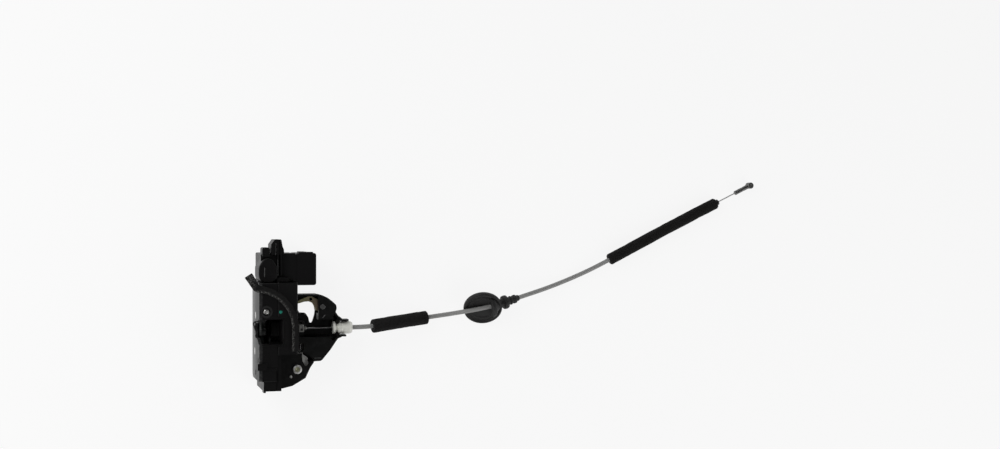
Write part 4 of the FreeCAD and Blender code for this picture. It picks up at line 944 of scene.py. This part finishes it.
@dataclass
class Workshop:
    """The materials made so far, and the last steps of each piece."""

    made: dict[str, bpy.types.Material] = field(default_factory=dict)
    bevel_deg: float = 40.0
    normal_weight: int = 60

    def material(self, slot: str) -> bpy.types.Material:
        """The material of a finish, made on first use."""
        if slot not in self.made:
            self.made[slot] = FINISHES[slot].make()
        return self.made[slot]

    def place(self, piece: bpy.types.Object, slot: str, body: str, *nodes: str) -> bpy.types.Object:
        """Give a new piece its finish and its body.

        Args:
            piece: the new piece.
            slot: its material slot.
            body: the body that it rides on.
            nodes: the solids that it stands for.

        Returns:
            The piece.
        """
        piece.data.materials.clear()
        piece.data.materials.append(self.material(slot))
        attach(piece, body)
        if nodes:
            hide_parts(*nodes)
        LOG.info("made %s on %s", piece.name, body)
        return piece

    def dress(self, node: bpy.types.Object, slot: str, edge_mm: float = 0.0) -> None:
        """Give a solid its finish and softened edges.

        Args:
            node: the solid's object.
            slot: its material slot.
            edge_mm: width of the softened edges, or 0 to leave them.
        """
        node.data.materials.clear()
        node.data.materials.append(self.material(slot))
        if edge_mm > 0.0:
            weld = node.modifiers.new("weld", "WELD")
            weld.merge_threshold = WELD_M
            bevel = node.modifiers.new("edge", "BEVEL")
            bevel.width = edge_mm * MM
            bevel.segments = 2
            bevel.limit_method = "ANGLE"
            bevel.angle_limit = math.radians(self.bevel_deg)
            bevel.use_clamp_overlap = True
            bevel.harden_normals = False
            even = node.modifiers.new("even", "WEIGHTED_NORMAL")
            even.keep_sharp = False
            even.weight = self.normal_weight
        LOG.info("dressed %s in %s", node.name, slot)


@dataclass
class Studio:
    """Pale floor, soft lamps, a plain sky and the camera at the photograph's angle."""

    floor_z: float = -30.0
    floor_gap: float = 0.02
    floor_x: float = 250.0
    floor_size: float = 9000.0
    floor_grey: float = 0.86
    floor_glow: float = 0.87
    sky_stops: tuple[tuple[float, float], ...] = ((0.30, 0.92), (0.62, 0.02))
    camera_at: Point = (-154.19, 103.26, 1412.61)
    tilt_deg: float = 15.9
    focal_px: float = 1433.0
    image_px: float = 1000.0
    sensor_mm: float = 36.0
    clip_m: tuple[float, float] = (0.05, 20.0)

    def build(self) -> None:
        """Make the floor, the sky, the lamps and the camera."""
        self.floor()
        self.sky()
        self.lamp("key lamp", (-620.0, 520.0, 760.0), (160.0, 30.0, 0.0), 700.0, 4.5)
        self.lamp("side lamp", (-760.0, -260.0, 330.0), (40.0, 0.0, 0.0), 520.0, 2.2)
        self.lamp("far lamp", (900.0, -560.0, 720.0), (220.0, 30.0, 0.0), 800.0, 3.6)
        self.lamp("top lamp", (190.0, -130.0, 1400.0), (20.0, -10.0, 0.0), 260.0, 0.28)
        self.camera()

    def floor(self) -> None:
        """Flat floor whose material keeps the object's shadow on white."""
        half = self.floor_size / 2
        u, v = np.meshgrid(np.linspace(-half, half, 3), np.linspace(-half, half, 3), indexing="ij")
        grid = np.stack([u + self.floor_x, v, np.full_like(u, self.floor_z - self.floor_gap)], axis=-1)
        floor = solid_from("floor", [(grid, lattice(3, 3))], Shade.FLAT)
        if floor.data.polygons[0].normal.z < 0:
            floor.data.flip_normals()
        p = Paint("pale floor")
        rays = ("Is Camera Ray", "Is Glossy Ray", "Is Transmission Ray")
        direct, glossy, clear = (p.node("ShaderNodeLightPath", {}, {}, ray) for ray in rays)
        seen = p.larger(direct, p.larger(glossy, clear))
        matt = p.node("ShaderNodeBsdfDiffuse", {}, {"Color": (self.floor_grey,) * 3})
        glow = p.node("ShaderNodeEmission", {}, {"Color": (1.0, 1.0, 1.0), "Strength": 1.0})
        mixed = p.node("ShaderNodeMixShader", {}, {0: seen * self.floor_glow, 1: matt, 2: glow})
        p.node_out(mixed)
        floor.data.materials.append(p.material)

    def sky(self) -> None:
        """Sky that is white at the horizon and darkens overhead, as a room with white walls does."""
        p = Paint("studio", sky=True)
        rise = p.node("ShaderNodeSeparateXYZ", {}, {0: p.place}, "Z")
        stops = [(at, (grey,) * 3) for at, grey in self.sky_stops]
        shade = p.node("ShaderNodeValToRGB", {"stops": stops}, {"Fac": rise}, "Color")
        back = p.node("ShaderNodeBackground", {}, {"Color": shade, "Strength": 1.0})
        p.node_out(back, "ShaderNodeOutputWorld")
        bpy.context.scene.world = p.material

    def lamp(self, name: str, at: Point, towards: Point, size: float, power: float) -> None:
        """Soft square lamp.

        Args:
            name: the lamp's name.
            at: where it hangs.
            towards: the point that it faces.
            size: its side.
            power: watts.
        """
        data = bpy.data.lights.new(name, "AREA")
        data.size = size * MM
        data.energy = power
        lamp = bpy.data.objects.new(name, data)
        lamp.location = Vector(at) * MM
        lamp.rotation_mode = "QUATERNION"
        lamp.rotation_quaternion = (Vector(towards) - Vector(at)).to_track_quat("-Z", "Y")
        bpy.context.scene.collection.objects.link(lamp)

    def camera(self) -> None:
        """Camera at the photograph's angle and distance."""
        data = bpy.data.cameras.new("camera")
        data.sensor_width = self.sensor_mm
        data.lens = self.focal_px * self.sensor_mm / self.image_px
        data.clip_start, data.clip_end = self.clip_m
        camera = bpy.data.objects.new("camera", data)
        camera.location = Vector(self.camera_at) * MM
        camera.rotation_euler = (0.0, math.radians(-self.tilt_deg), 0.0)
        bpy.context.scene.collection.objects.link(camera)
        bpy.context.scene.camera = camera
        bpy.context.scene.view_settings.view_transform = "Standard"


@dataclass
class Build:
    """What every sub-assembly shares: the frame, the workshop and short ways to both."""

    frame: dict
    shop: Workshop
    nodes: dict[str, bpy.types.Object] = field(init=False)
    slots: dict[str, str] = field(init=False)

    def __post_init__(self) -> None:
        """Take the solids and their material slots from the frame."""
        self.nodes = self.frame["nodes"]
        self.slots = {s["node"]: s["material_slot"] for s in self.frame["record"]["subparts"]}

    def dress(self, edge_mm: float, *names: str) -> None:
        """Dress solids in their own slots' finishes.

        Args:
            edge_mm: width of the softened edges.
            names: the solids' nodes.
        """
        for name in names:
            self.shop.dress(self.nodes[name], self.slots[name], edge_mm)

    def refinish(self, finish: str, *names: str) -> None:
        """Give dressed solids a finish of their own in place of their slot's.

        Args:
            finish: the finish's name.
            names: the solids' nodes.
        """
        for name in names:
            self.nodes[name].data.materials[0] = self.shop.material(finish)



@dataclass
class PullCable(Build):
    """Pull cable of the inside handle: ferrule, sheath, foam sleeves, grommet and end fitting."""

    route: tuple[Point, ...] = (
        (95.0, 1.0, 0.0), (112.0, 1.0, 0.0), (134.0, 3.6, -7.6), (157.0, 5.9, -17.6),
        (180.0, 8.3, -23.8), (203.0, 11.5, -20.6), (223.0, 15.2, -13.6), (243.0, 19.0, -11.0),
        (260.0, 23.6, -13.4), (279.0, 28.8, -18.4), (304.4, 35.7, -24.0), (331.0, 44.9, -27.0),
        (355.0, 55.2, -25.2), (377.0, 66.3, -23.2), (411.0, 83.4, -23.6), (457.0, 106.4, -23.8),
        (500.8, 127.4, -23.7))
    sheath_r: float = 2.3
    bore_play: float = 0.06
    wire_r: float = 0.75
    short_sleeve: tuple[float, float, float] = (116.0, 176.5, 6.85)
    long_sleeve: tuple[float, float, float] = (375.6, 499.0, 5.98)
    disc_centre: Point = (234.0, 17.2, -15.0)
    disc_normal: Point = (-0.16, -0.61, 0.78)
    disc_r: float = 20.0
    end_way: Point = (0.9017138, 0.4323285, 0.0020587)
    lay_length: float = 7.0
    strand_rings: int = 5
    away_core: tuple[float, float] = (-13.0, 25.0)
    near_core: tuple[float, float] = (45.5, 82.0)
    near_origin: Point = (0.0, 1.0, 0.0)
    stem_start: float = 23.0
    stem_end: float = 39.6
    stem_r: float = 2.4
    barrel: Point = (539.3032, 145.8604, -23.6121)
    barrel_r: float = 3.4
    barrel_half: float = 4.0
    line: Line = field(init=False)

    def build(self) -> None:
        sheath = self.sheath()
        sleeves = [self.sleeve("foam_sleeve_near", self.short_sleeve, 11, "foam_sleeve_short"),
                   self.sleeve("foam_sleeve_away", self.long_sleeve, 12, "foam_sleeve_long")]
        on_it = [*sleeves, self.grommet(), self.cap(), self.far_wire(), self.stem(), self.head()]
        self.ferrule()
        self.near_wire()
        LOG.info("sheath line is %.1f mm long", self.line.length)

    def sheath(self) -> bpy.types.Object:
        """Grey sheath on the route's smooth line, which is also read for the pieces along it."""
        curve = bpy.data.curves.new("sheath", "CURVE")
        curve.dimensions = "3D"
        spline = curve.splines.new("NURBS")
        spline.points.add(len(self.route) - 1)
        places = np.concatenate([np.array(self.route) * MM, np.ones((len(self.route), 1))], axis=1)
        spline.points.foreach_set("co", places.ravel())
        spline.order_u = 3
        spline.use_endpoint_u = True
        curve.resolution_u = 20
        piece = bpy.data.objects.new("grey_sheath", curve)
        bpy.context.scene.collection.objects.link(piece)
        bpy.context.view_layer.update()
        bare = bpy.data.meshes.new_from_object(piece)
        points = np.zeros(len(bare.vertices) * 3)
        bare.vertices.foreach_get("co", points)
        bpy.data.meshes.remove(bare)
        self.line = Line(points.reshape(-1, 3) / MM)
        curve.bevel_depth = self.sheath_r * MM
        curve.bevel_resolution = 8
        curve.use_fill_caps = True
        return self.shop.place(piece, "sheath_grey", "lock", "cable_sheath")

    def sleeve(self, name: str, span: tuple[float, float, float], seed: int, node: str) -> bpy.types.Object:
        """Foam sleeve: an outer skin, worn round ends and the bore.

        The radius is r plus a fine and a slow wave of turn and distance, and each end is drawn in by
        1.1 (1 - sqrt(1 - 0.96 t^2)), where t rises from 0 to 1 over the last 1.4 mm.

        Args:
            name: the piece's name.
            span: first X, last X and radius.
            seed: seed of the skin's waves.
            node: the solid that it stands for.

        Returns:
            The piece.
        """
        start, end = self.line.where_x(span[0]), self.line.where_x(span[1])
        skin_rings, bore_rings, inset = 110, 6, 0.02
        where = start + (end - start) * np.linspace(0.0, 1.0, skin_rings)
        near_end = np.minimum(where - start, end - where)
        t = np.clip(1.0 - near_end / 1.4, 0.0, 1.0)
        radius = span[2] - 1.1 * (1 - np.sqrt(1 - t ** 2 * 0.96))
        skin, slow = waves(seed, 26, 26.0, 5.0), waves(seed + 40, 8, 70.0, 24.0)
        share = np.pad(np.ones(skin_rings), bore_rings)
        bore = np.linspace(self.sheath_r + self.bore_play, radius[0] - 0.3, bore_rings)
        where = np.concatenate([np.full(bore_rings, start + inset), where, np.full(bore_rings, end - inset)])
        radius = np.concatenate([bore, radius, bore[::-1]])

        def lump(turn: np.ndarray, distance: np.ndarray) -> np.ndarray:
            """Unevenness of the skin in millimetres."""
            even = skin(turn, distance) * 0.09 + slow(turn, distance) * 0.11
            return np.clip(even, -0.4, 0.12) * share[:, None, None]

        grid = self.line.tube(where, radius, 72, lump, True)
        return self.shop.place(solid_from(name, [grid], crease_deg=60.0), "foam", "lock", node)

    def grommet(self) -> bpy.types.Object:
        """Rubber grommet: a dished disc with a rolled rim, and a neck with bellows round the sheath."""
        r = self.disc_r
        disc = [(-1.5, 0.0), (-1.5, r - 6.5), (-1.2, r - 4.2), (-2.5, r - 2.2), (-2.7, r - 0.9), (-1.5, r),
                (1.2, r), (2.4, r - 0.9), (2.3, r - 2.2), (0.9, r - 3.6), (0.5, r - 4.6), (1.2, r - 6.4),
                (1.1, r - 7.4), (0.35, r - 8.6), (0.3, 0.0)]
        plate = revolved(rounded(disc, 0.9, 4), self.disc_centre, self.disc_normal, 120)
        stations = [(241.5, 2.6), (241.6, 11.8), (244.2, 11.2), (246.8, 7.4), (249.4, 5.2), (252.2, 4.7),
                    (254.6, 4.9), (255.0, 6.9), (257.2, 7.2), (259.2, 6.9), (259.6, 4.1), (262.2, 3.8),
                    (262.8, 4.6), (263.9, 4.7), (264.6, 3.8), (266.2, 3.8), (266.7, 4.5), (269.1, 4.5),
                    (269.6, 3.3), (272.6, 3.1), (272.9, 2.36)]
        shape = rounded(stations, 0.5, 4)
        where = np.interp(shape[:, 0], self.line.points[:, 0], self.line.distance)
        neck = self.line.tube(where, shape[:, 1], 64, None, True)
        piece = solid_from("rubber_grommet", [plate, neck], crease_deg=50.0)
        return self.shop.place(piece, "rubber", "lock", "grommet")

    def _end(self, reach: float) -> np.ndarray:
        """Point beyond the sheath's end, straight along the core."""
        return np.asarray(self.route[-1]) + np.asarray(self.end_way) * reach

    def cap(self) -> bpy.types.Object:
        """Crimped cap on the sheath's end, with a hole for the core."""
        profile = rounded([(-1.5, 2.36), (-1.5, 3.1), (0.9, 3.1), (1.3, 2.5), (1.3, 0.84), (0.1, 0.84),
                           (0.1, 2.36), (-1.5, 2.36)], 0.22, 3)
        ring = revolved(profile, self._end(0.0), self.end_way, 40, closed=False)
        return self.shop.place(solid_from("sheath_cap", [ring]), "circuit", "lock", "sheath_end_cap")

    def _strands(self, origin: np.ndarray, axis: Point, start: float, end: float) -> Grid:
        """Rope of six strands: radius r (0.86 + 0.14 |cos(3 (turn - k distance))|), closed by end faces.

        Args:
            origin: where distances count from.
            axis: direction of the core.
            start: first distance.
            end: last distance.

        Returns:
            The grid and its faces.
        """
        steps = max(24, int((end - start) * self.strand_rings))
        distance = np.linspace(start, end, steps)
        profile = np.concatenate([[(start, 0.0)], np.stack([distance, np.full(steps, self.wire_r)], axis=1),
                                  [(end, 0.0)]])

        def lay(turn: np.ndarray, along: np.ndarray) -> np.ndarray:
            """Share of the full radius, with a groove between neighbouring strands."""
            return 0.86 + 0.14 * np.abs(np.cos(3.0 * (turn - along * 2 * math.pi / self.lay_length)))

        return revolved(profile, origin, axis, 36, lay)

    def far_wire(self) -> bpy.types.Object:
        """Bare core between the sheath's end and the stem."""
        grid = self._strands(np.asarray(self.route[-1]), self.end_way, *self.away_core)
        return self.shop.place(solid_from("core_strands_away", [grid], crease_deg=70.0), "wire", "core_far",
                               "core_wire_far")

    def near_wire(self) -> bpy.types.Object:
        """Bare core between the nipple and the ferrule."""
        grid = self._strands(np.array(self.near_origin), (1.0, 0.0, 0.0), *self.near_core)
        return self.shop.place(solid_from("core_strands_near", [grid], crease_deg=70.0), "wire",
                               "core_near", "core_wire_near")

    def stem(self) -> bpy.types.Object:
        """Stem pressed on the core: six crimp flats in two bands, a waist and a plain neck.

        The radius is r less 0.5 c^2, where c falls from 1 to 0 over the first 1.1 mm, and less a waist
        0.22 exp(-((d - 10.6) / 0.8)^2) at the distance d from its start.
        """
        a, b, r = self.stem_start, self.stem_end, self.stem_r - 0.05
        distance = np.linspace(a, b, 90)
        base = r - 0.5 * np.clip(1 - (distance - a) / 1.1, 0, 1) ** 2
        base = base - 0.22 * np.exp(-((distance - a - 10.6) / 0.8) ** 2)
        profile = np.concatenate([[(a, self.wire_r)], np.stack([distance, base], axis=1), [(b, 0.0)]])

        def crimp(turn: np.ndarray, along: np.ndarray) -> np.ndarray:
            """Share of the full radius, flattened on six sides in two bands."""
            band = np.exp(-((along - a - 4.0) / 1.3) ** 4) + np.exp(-((along - a - 8.0) / 1.3) ** 4)
            flat = np.cos(math.pi / 6) / np.cos((turn % (math.pi / 3)) - math.pi / 6)
            return 1.0 - band * (1.0 - flat * 0.97)

        grid = revolved(profile, self.route[-1], self.end_way, 72, crimp)
        return self.shop.place(solid_from("end_stem_crimped", [grid], crease_deg=50.0), "crimp", "core_far",
                               "end_stem")

    def head(self) -> bpy.types.Object:
        """Barrel at the cable's end, with broken edges and a parting bead."""
        h, r = self.barrel_half, self.barrel_r
        corners_mm = [(-h, 0.0), (-h, r - 0.5), (-h + 0.5, r), (-0.3, r), (-0.2, r - 0.03), (0.2, r - 0.03),
                      (0.3, r), (h - 0.5, r), (h, r - 0.5), (h, 1.3), (h - 0.35, 1.0), (h - 0.35, 0.0)]
        profile = rounded(corners_mm, 0.2, 3)
        grid = revolved(profile, self.barrel, (0.0, 0.0, 1.0), 64)
        return self.shop.place(solid_from("end_barrel_cast", [grid]), "crimp", "core_far", "end_barrel")

    def ferrule(self) -> bpy.types.Object:
        """Ivory end of the sheath: flange, clip groove, grip ribs and a rounded back."""
        profile = rounded([(75.5, 0.9), (75.5, 6.5), (77.8, 6.5), (77.8, 4.6), (80.6, 4.6), (80.6, 6.25),
                           (83.2, 6.25), (83.5, 5.9), (84.1, 5.9), (84.4, 6.25), (92.2, 6.25), (94.4, 5.4),
                           (95.0, 3.9), (95.0, 2.36), (93.4, 2.36), (93.4, 0.9), (75.5, 0.9)], 0.35, 4)

        def ribs(turn: np.ndarray, distance: np.ndarray) -> np.ndarray:
            """Share of the radius, with eight shallow flutes on the body."""
            body = np.clip((distance - 85.2) / 0.5, 0, 1) * np.clip((91.8 - distance) / 0.5, 0, 1)
            return 1.0 - 0.035 * body * np.clip(np.cos(8.0 * turn) * 2.0, 0.0, 1.0)

        dense = np.concatenate([np.linspace(a, b, 5)[:-1] for a, b in zip(profile[:-1], profile[1:])])
        dense = np.concatenate([dense, profile[-1:]])
        grid = revolved(dense, self.near_origin, (1.0, 0.0, 0.0), 96, ribs)
        return self.shop.place(solid_from("ferrule_moulded", [grid]), "ivory", "lock", "cable_ferrule")


@dataclass
class LatchBody(Build):
    """Latch plate, moulded case, actuator housing and the soft parts on them."""

    seal_centre: tuple[float, float] = (-4.0, 3.0)
    seal_mid_r: float = 38.45
    seal_width: float = 6.5
    seal_thick: float = 3.5
    seal_z: float = 30.0
    seal_tail: tuple[float, float] = (-10.6, 54.6)
    seal_end_y: float = -18.8
    tail_more: float = 0.30
    tail_length: float = 20.0
    lip_path: tuple[tuple[float, float], ...] = (
        (6.6, 11.6), (3.4, 10.3), (-0.8, 10.1), (-4.0, 9.7), (-5.0, 8.2), (-3.8, 3.6), (-2.5, -0.8),
        (-2.9, -3.1))
    lip_z: tuple[float, float] = (20.4, 26.6)
    lip_thick: float = 1.3
    screw: tuple[float, float] = (6.8, 19.3)
    well_r: tuple[float, float] = (3.72, 5.9)
    # painted highlights: pale bars laid where glints show on the mouldings
    glint_bead_runs: tuple[tuple[Point, Point, float], ...] = (
        ((5.8, 62.0, 23.6), (5.8, 52.2, 23.6), 0.55), ((17.1, 85.0, 20.0), (17.1, 73.2, 20.0), 0.25),
        ((18.8, 69.4, 21.2), (18.8, 53.6, 21.2), 0.25), ((63.7, 11.2, 8.0), (67.1, 14.2, 8.0), 0.30),
        ((55.8, -28.2, 8.0), (63.2, -27.9, 8.0), 0.30))
    dot: tuple[float, float] = (20.6, 19.0)
    dot_r: float = 1.5

    def build(self) -> None:
        """Dress the solids and make the soft parts."""
        self.dress(0.35, "latch_plate", "actuator_cover", "connector_socket")
        self.dress(0.3, "latch_case", "actuator_housing", "striker_buffer")
        self.dress(0.15, "weld_nuts", "case_screw", "cover_screws")
        self.seal()
        self.lip()
        self.paint_dot()
        self.screw_well()
        self.torx_screw()
        self.beads()

    def _plain(self, piece: bpy.types.Object, finish: str) -> bpy.types.Object:
        """Give a piece of no slot a finish of its own and let it ride on the lock."""
        piece.data.materials.append(self.shop.material(finish))
        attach(piece, "lock")
        return piece

    def _seal_line(self) -> Line:
        """Middle of the foam strip: the tail, a quarter ring and the straight end."""
        cx, cy = self.seal_centre
        turn = np.radians(np.linspace(88.0, 0.0, 60))
        ring = np.stack([cx + self.seal_mid_r * np.cos(turn), cy + self.seal_mid_r * np.sin(turn)], axis=1)
        joint = np.array([[-5.2, 46.3], [-3.2, 43.0]])
        foot = np.array([[cx + self.seal_mid_r, self.seal_end_y]])
        flat = np.concatenate([[self.seal_tail], joint, ring[2:], foot])
        return Line(np.concatenate([flat, np.zeros((len(flat), 1))], axis=1))

    def seal(self) -> bpy.types.Object:
        """Foam strip: a squared section of power 0.32 carried along its line.

        It stands on the case, is broader towards its tail and drawn in at both ends, and its width and
        height swell and sink with a seeded wave.
        """
        line = self._seal_line()
        where = np.linspace(0.0, line.length, 190)
        u = np.linspace(0.0, 2 * math.pi, 40, endpoint=False)
        side, rise = squared(u, 0.32)
        level, _, _ = line.frame(where)
        skin = waves(5, 30, 16.0, 2.5)(u[None, :, None], where[:, None, None])[..., 0]
        end = np.clip(np.minimum(where, line.length - where) / 0.7, 0.0, 1.0)[:, None]
        plump = 0.93 + 0.07 * np.sqrt(end)
        broad = 1.0 + self.tail_more * np.clip(1.0 - where / self.tail_length, 0.0, 1.0)[:, None] ** 0.7
        half = (self.seal_width / 2 - 0.1) * plump * broad + 0.10 * skin * end
        tall = self.seal_thick * plump - 0.06 + 0.08 * np.minimum(skin, 0.0)
        points = line.at(where)[:, None] + (half * side)[..., None] * level[:, None]
        points[..., 2] = self.seal_z + tall * (1 + rise) / 2
        piece = solid_from("foam_strip", [capped(points)], crease_deg=65.0)
        self.shop.place(piece, "foam", "lock", "foam_seal")
        piece.data.materials[0] = self.shop.material("seal_foam")
        return piece

    def lip(self) -> bpy.types.Object:
        """Rubber lip at the mouth: a flat squared band along a bent line, thinner over its last 9 mm."""
        bent = rounded([(*p, 0.0) for p in self.lip_path], 2.0, 6)
        line = Line(bent)
        where = np.linspace(0.0, line.length, 70)
        level, _, _ = line.frame(where)
        u = np.linspace(0.0, 2 * math.pi, 28, endpoint=False)
        tip = 1.0 - 0.55 * np.clip((where - line.length + 9.0) / 9.0, 0.0, 1.0)
        thick = (self.lip_thick / 2 * tip)[:, None] * squared(u, 0.5)[0]
        low, high = self.lip_z
        points = line.at(where)[:, None] + thick[..., None] * level[:, None]
        points[..., 2] = (low + high) / 2 + (high - low) / 2 * squared(u, 0.35)[1]
        piece = solid_from("mouth_lip", [capped(points)])
        return self.shop.place(piece, "rubber", "lock")

    def screw_well(self) -> bpy.types.Object:
        """Painted shade of the screw's well: a very dark, shallow dished ring turned about the screw, laid
        where the well's shadow falls.
        """
        inner, outer = self.well_r
        share = np.linspace(0.0, 1.0, 9)
        top = 0.66 - 0.05 * np.sin(math.pi * share)
        ring = np.stack([top, inner + share * (outer - inner)], axis=1)
        profile = np.concatenate([ring, [[0.4, outer], [0.4, inner]]])
        grid = revolved(profile, (*self.screw, self.seal_z), (0.0, 0.0, 1.0), 64, closed=True)
        piece = solid_from("screw_well", [grid], crease_deg=40.0)
        # very dark matte finish: painted shade of the screw's well
        return self._plain(piece, "well_shade")

    def torx_screw(self) -> bpy.types.Object:
        """Pan-head screw: a turned profile whose socket wall waves six times, r (1 + 0.16 cos 6 turn).

        Each row is a height, a radius and the share of the wave.
        """
        rows = np.array([
            (-1.0, 0.0, 0.0), (-0.95, 0.4, 0.0), (-0.8, 1.0, 1.0), (0.02, 1.2, 1.0), (0.10, 1.4, 0.5),
            (0.12, 1.7, 0.0), (0.02, 2.2, 0.0), (-0.25, 2.6, 0.0), (-0.7, 2.85, 0.0), (-1.4, 2.9, 0.0),
            (-1.4, 1.55, 0.0), (0.1, 1.5, 0.0), (0.0, 0.0, 0.0)])
        rows[-2:, 0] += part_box("case_screw")[0][2] / MM - self.seal_z
        lobes = 0.16 * rows[:, 2][:, None, None]

        def socket(turn: np.ndarray, _: np.ndarray) -> np.ndarray:
            """Share of the radius round the socket."""
            return 1.0 + lobes * np.cos(6 * turn)

        grid = revolved(rows[:, :2], (*self.screw, self.seal_z), (0.0, 0.0, 1.0), 72, socket)
        piece = solid_from("torx_screw", [grid], crease_deg=50.0)
        return self.shop.place(piece, self.slots["case_screw"], "lock", "case_screw")

    def beads(self) -> bpy.types.Object:
        """Pale beads laid where glints show, as painted highlights: round bars sunk in the faces, with
        radius r sqrt(distance / 2r) at the ends.
        """
        parts = []
        for start, end, radius in self.glint_bead_runs:
            line = Line(np.linspace(start, end, 24))
            where = np.linspace(0.0, line.length, 24)
            taper = np.clip(np.minimum(where, line.length - where) / (2 * radius), 0.02, 1.0) ** 0.5
            rings, _ = line.tube(where, radius * taper, 12)
            parts.append(capped(rings))
        piece = self._plain(solid_from("moulded_beads", parts), "bead_plastic")
        return piece

    def paint_dot(self) -> bpy.types.Object:
        """Dab of marking paint: a low dome h (1 - (r/R)^2), with a wavy rim."""
        share = np.linspace(0.0, 1.0, 12)
        profile = np.stack([0.16 * (1 - share ** 2) + 0.005, share * self.dot_r], axis=1)
        profile = np.concatenate([profile, [[-0.05, self.dot_r], [-0.05, 0.0]]])

        def rim(turn: np.ndarray, _: np.ndarray) -> np.ndarray:
            """Share of the radius, uneven as a dab is."""
            return 1.0 + 0.05 * np.cos(3 * turn + 1.0) + 0.03 * np.cos(5 * turn + 0.4)

        grid = revolved(profile, (*self.dot, self.seal_z), (0.0, 0.0, 1.0), 40, rim)
        return self._plain(solid_from("marking_dot", [grid]), "marking_paint")


@dataclass
class LeverBracket(Build):
    """Moulded bracket with the inner and outer levers, their pivots and the cable's nipple."""

    def build(self) -> None:
        """Dress the solids."""
        self.dress(0.3, "cable_bracket", "lever_cover")
        self.dress(0.2, "inner_lever", "outer_lever", "outer_lever_pin", "lever_rivet", "cover_pin")
        self.refinish("lever_steel", "inner_lever")
        self.refinish("rivet_head", "lever_rivet")
        self.dress(0.12, "cable_nipple")
        self.refinish("nipple_cast", "cable_nipple")
        self.dress(0.0, "lever_spring")


@dataclass
class Works(Build):
    """Fork, pawl and springs of the latch, and the motor drive inside the housing."""

    def build(self) -> None:
        """Dress the solids."""
        self.dress(0.2, "fork_steel", "fork_overmould", "pawl", "fork_rivet", "pawl_rivet", "lock_lever")
        self.dress(0.15, "counter_plate")
        self.refinish("dark_works", "fork_steel", "pawl", "counter_plate")
        self.dress(0.12, "worm_wheel", "lock_motor", "microswitch", "circuit_carrier")
        self.dress(0.0, "fork_spring", "pawl_spring", "motor_worm", "connector_pins")


def corners(pair: tuple[Vector, Vector]) -> list[list[float]]:
    """Lowest and highest corner as plain lists."""
    return [[float(c) for c in corner] for corner in pair]


def main() -> None:
    """Build the studio and every sub-assembly in order."""
    logging.basicConfig(level=logging.INFO, format="%(name)s: %(message)s")
    bpy.ops.wm.read_factory_settings(use_empty=True)
    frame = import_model()
    shop = Workshop()
    Studio().build()
    for assembly in (PullCable, LatchBody, LeverBracket, Works):
        assembly(frame, shop).build()
        LOG.info("finished %s", assembly.__name__)
    bpy.context.view_layer.update()


if __name__ == "__main__":
    main()
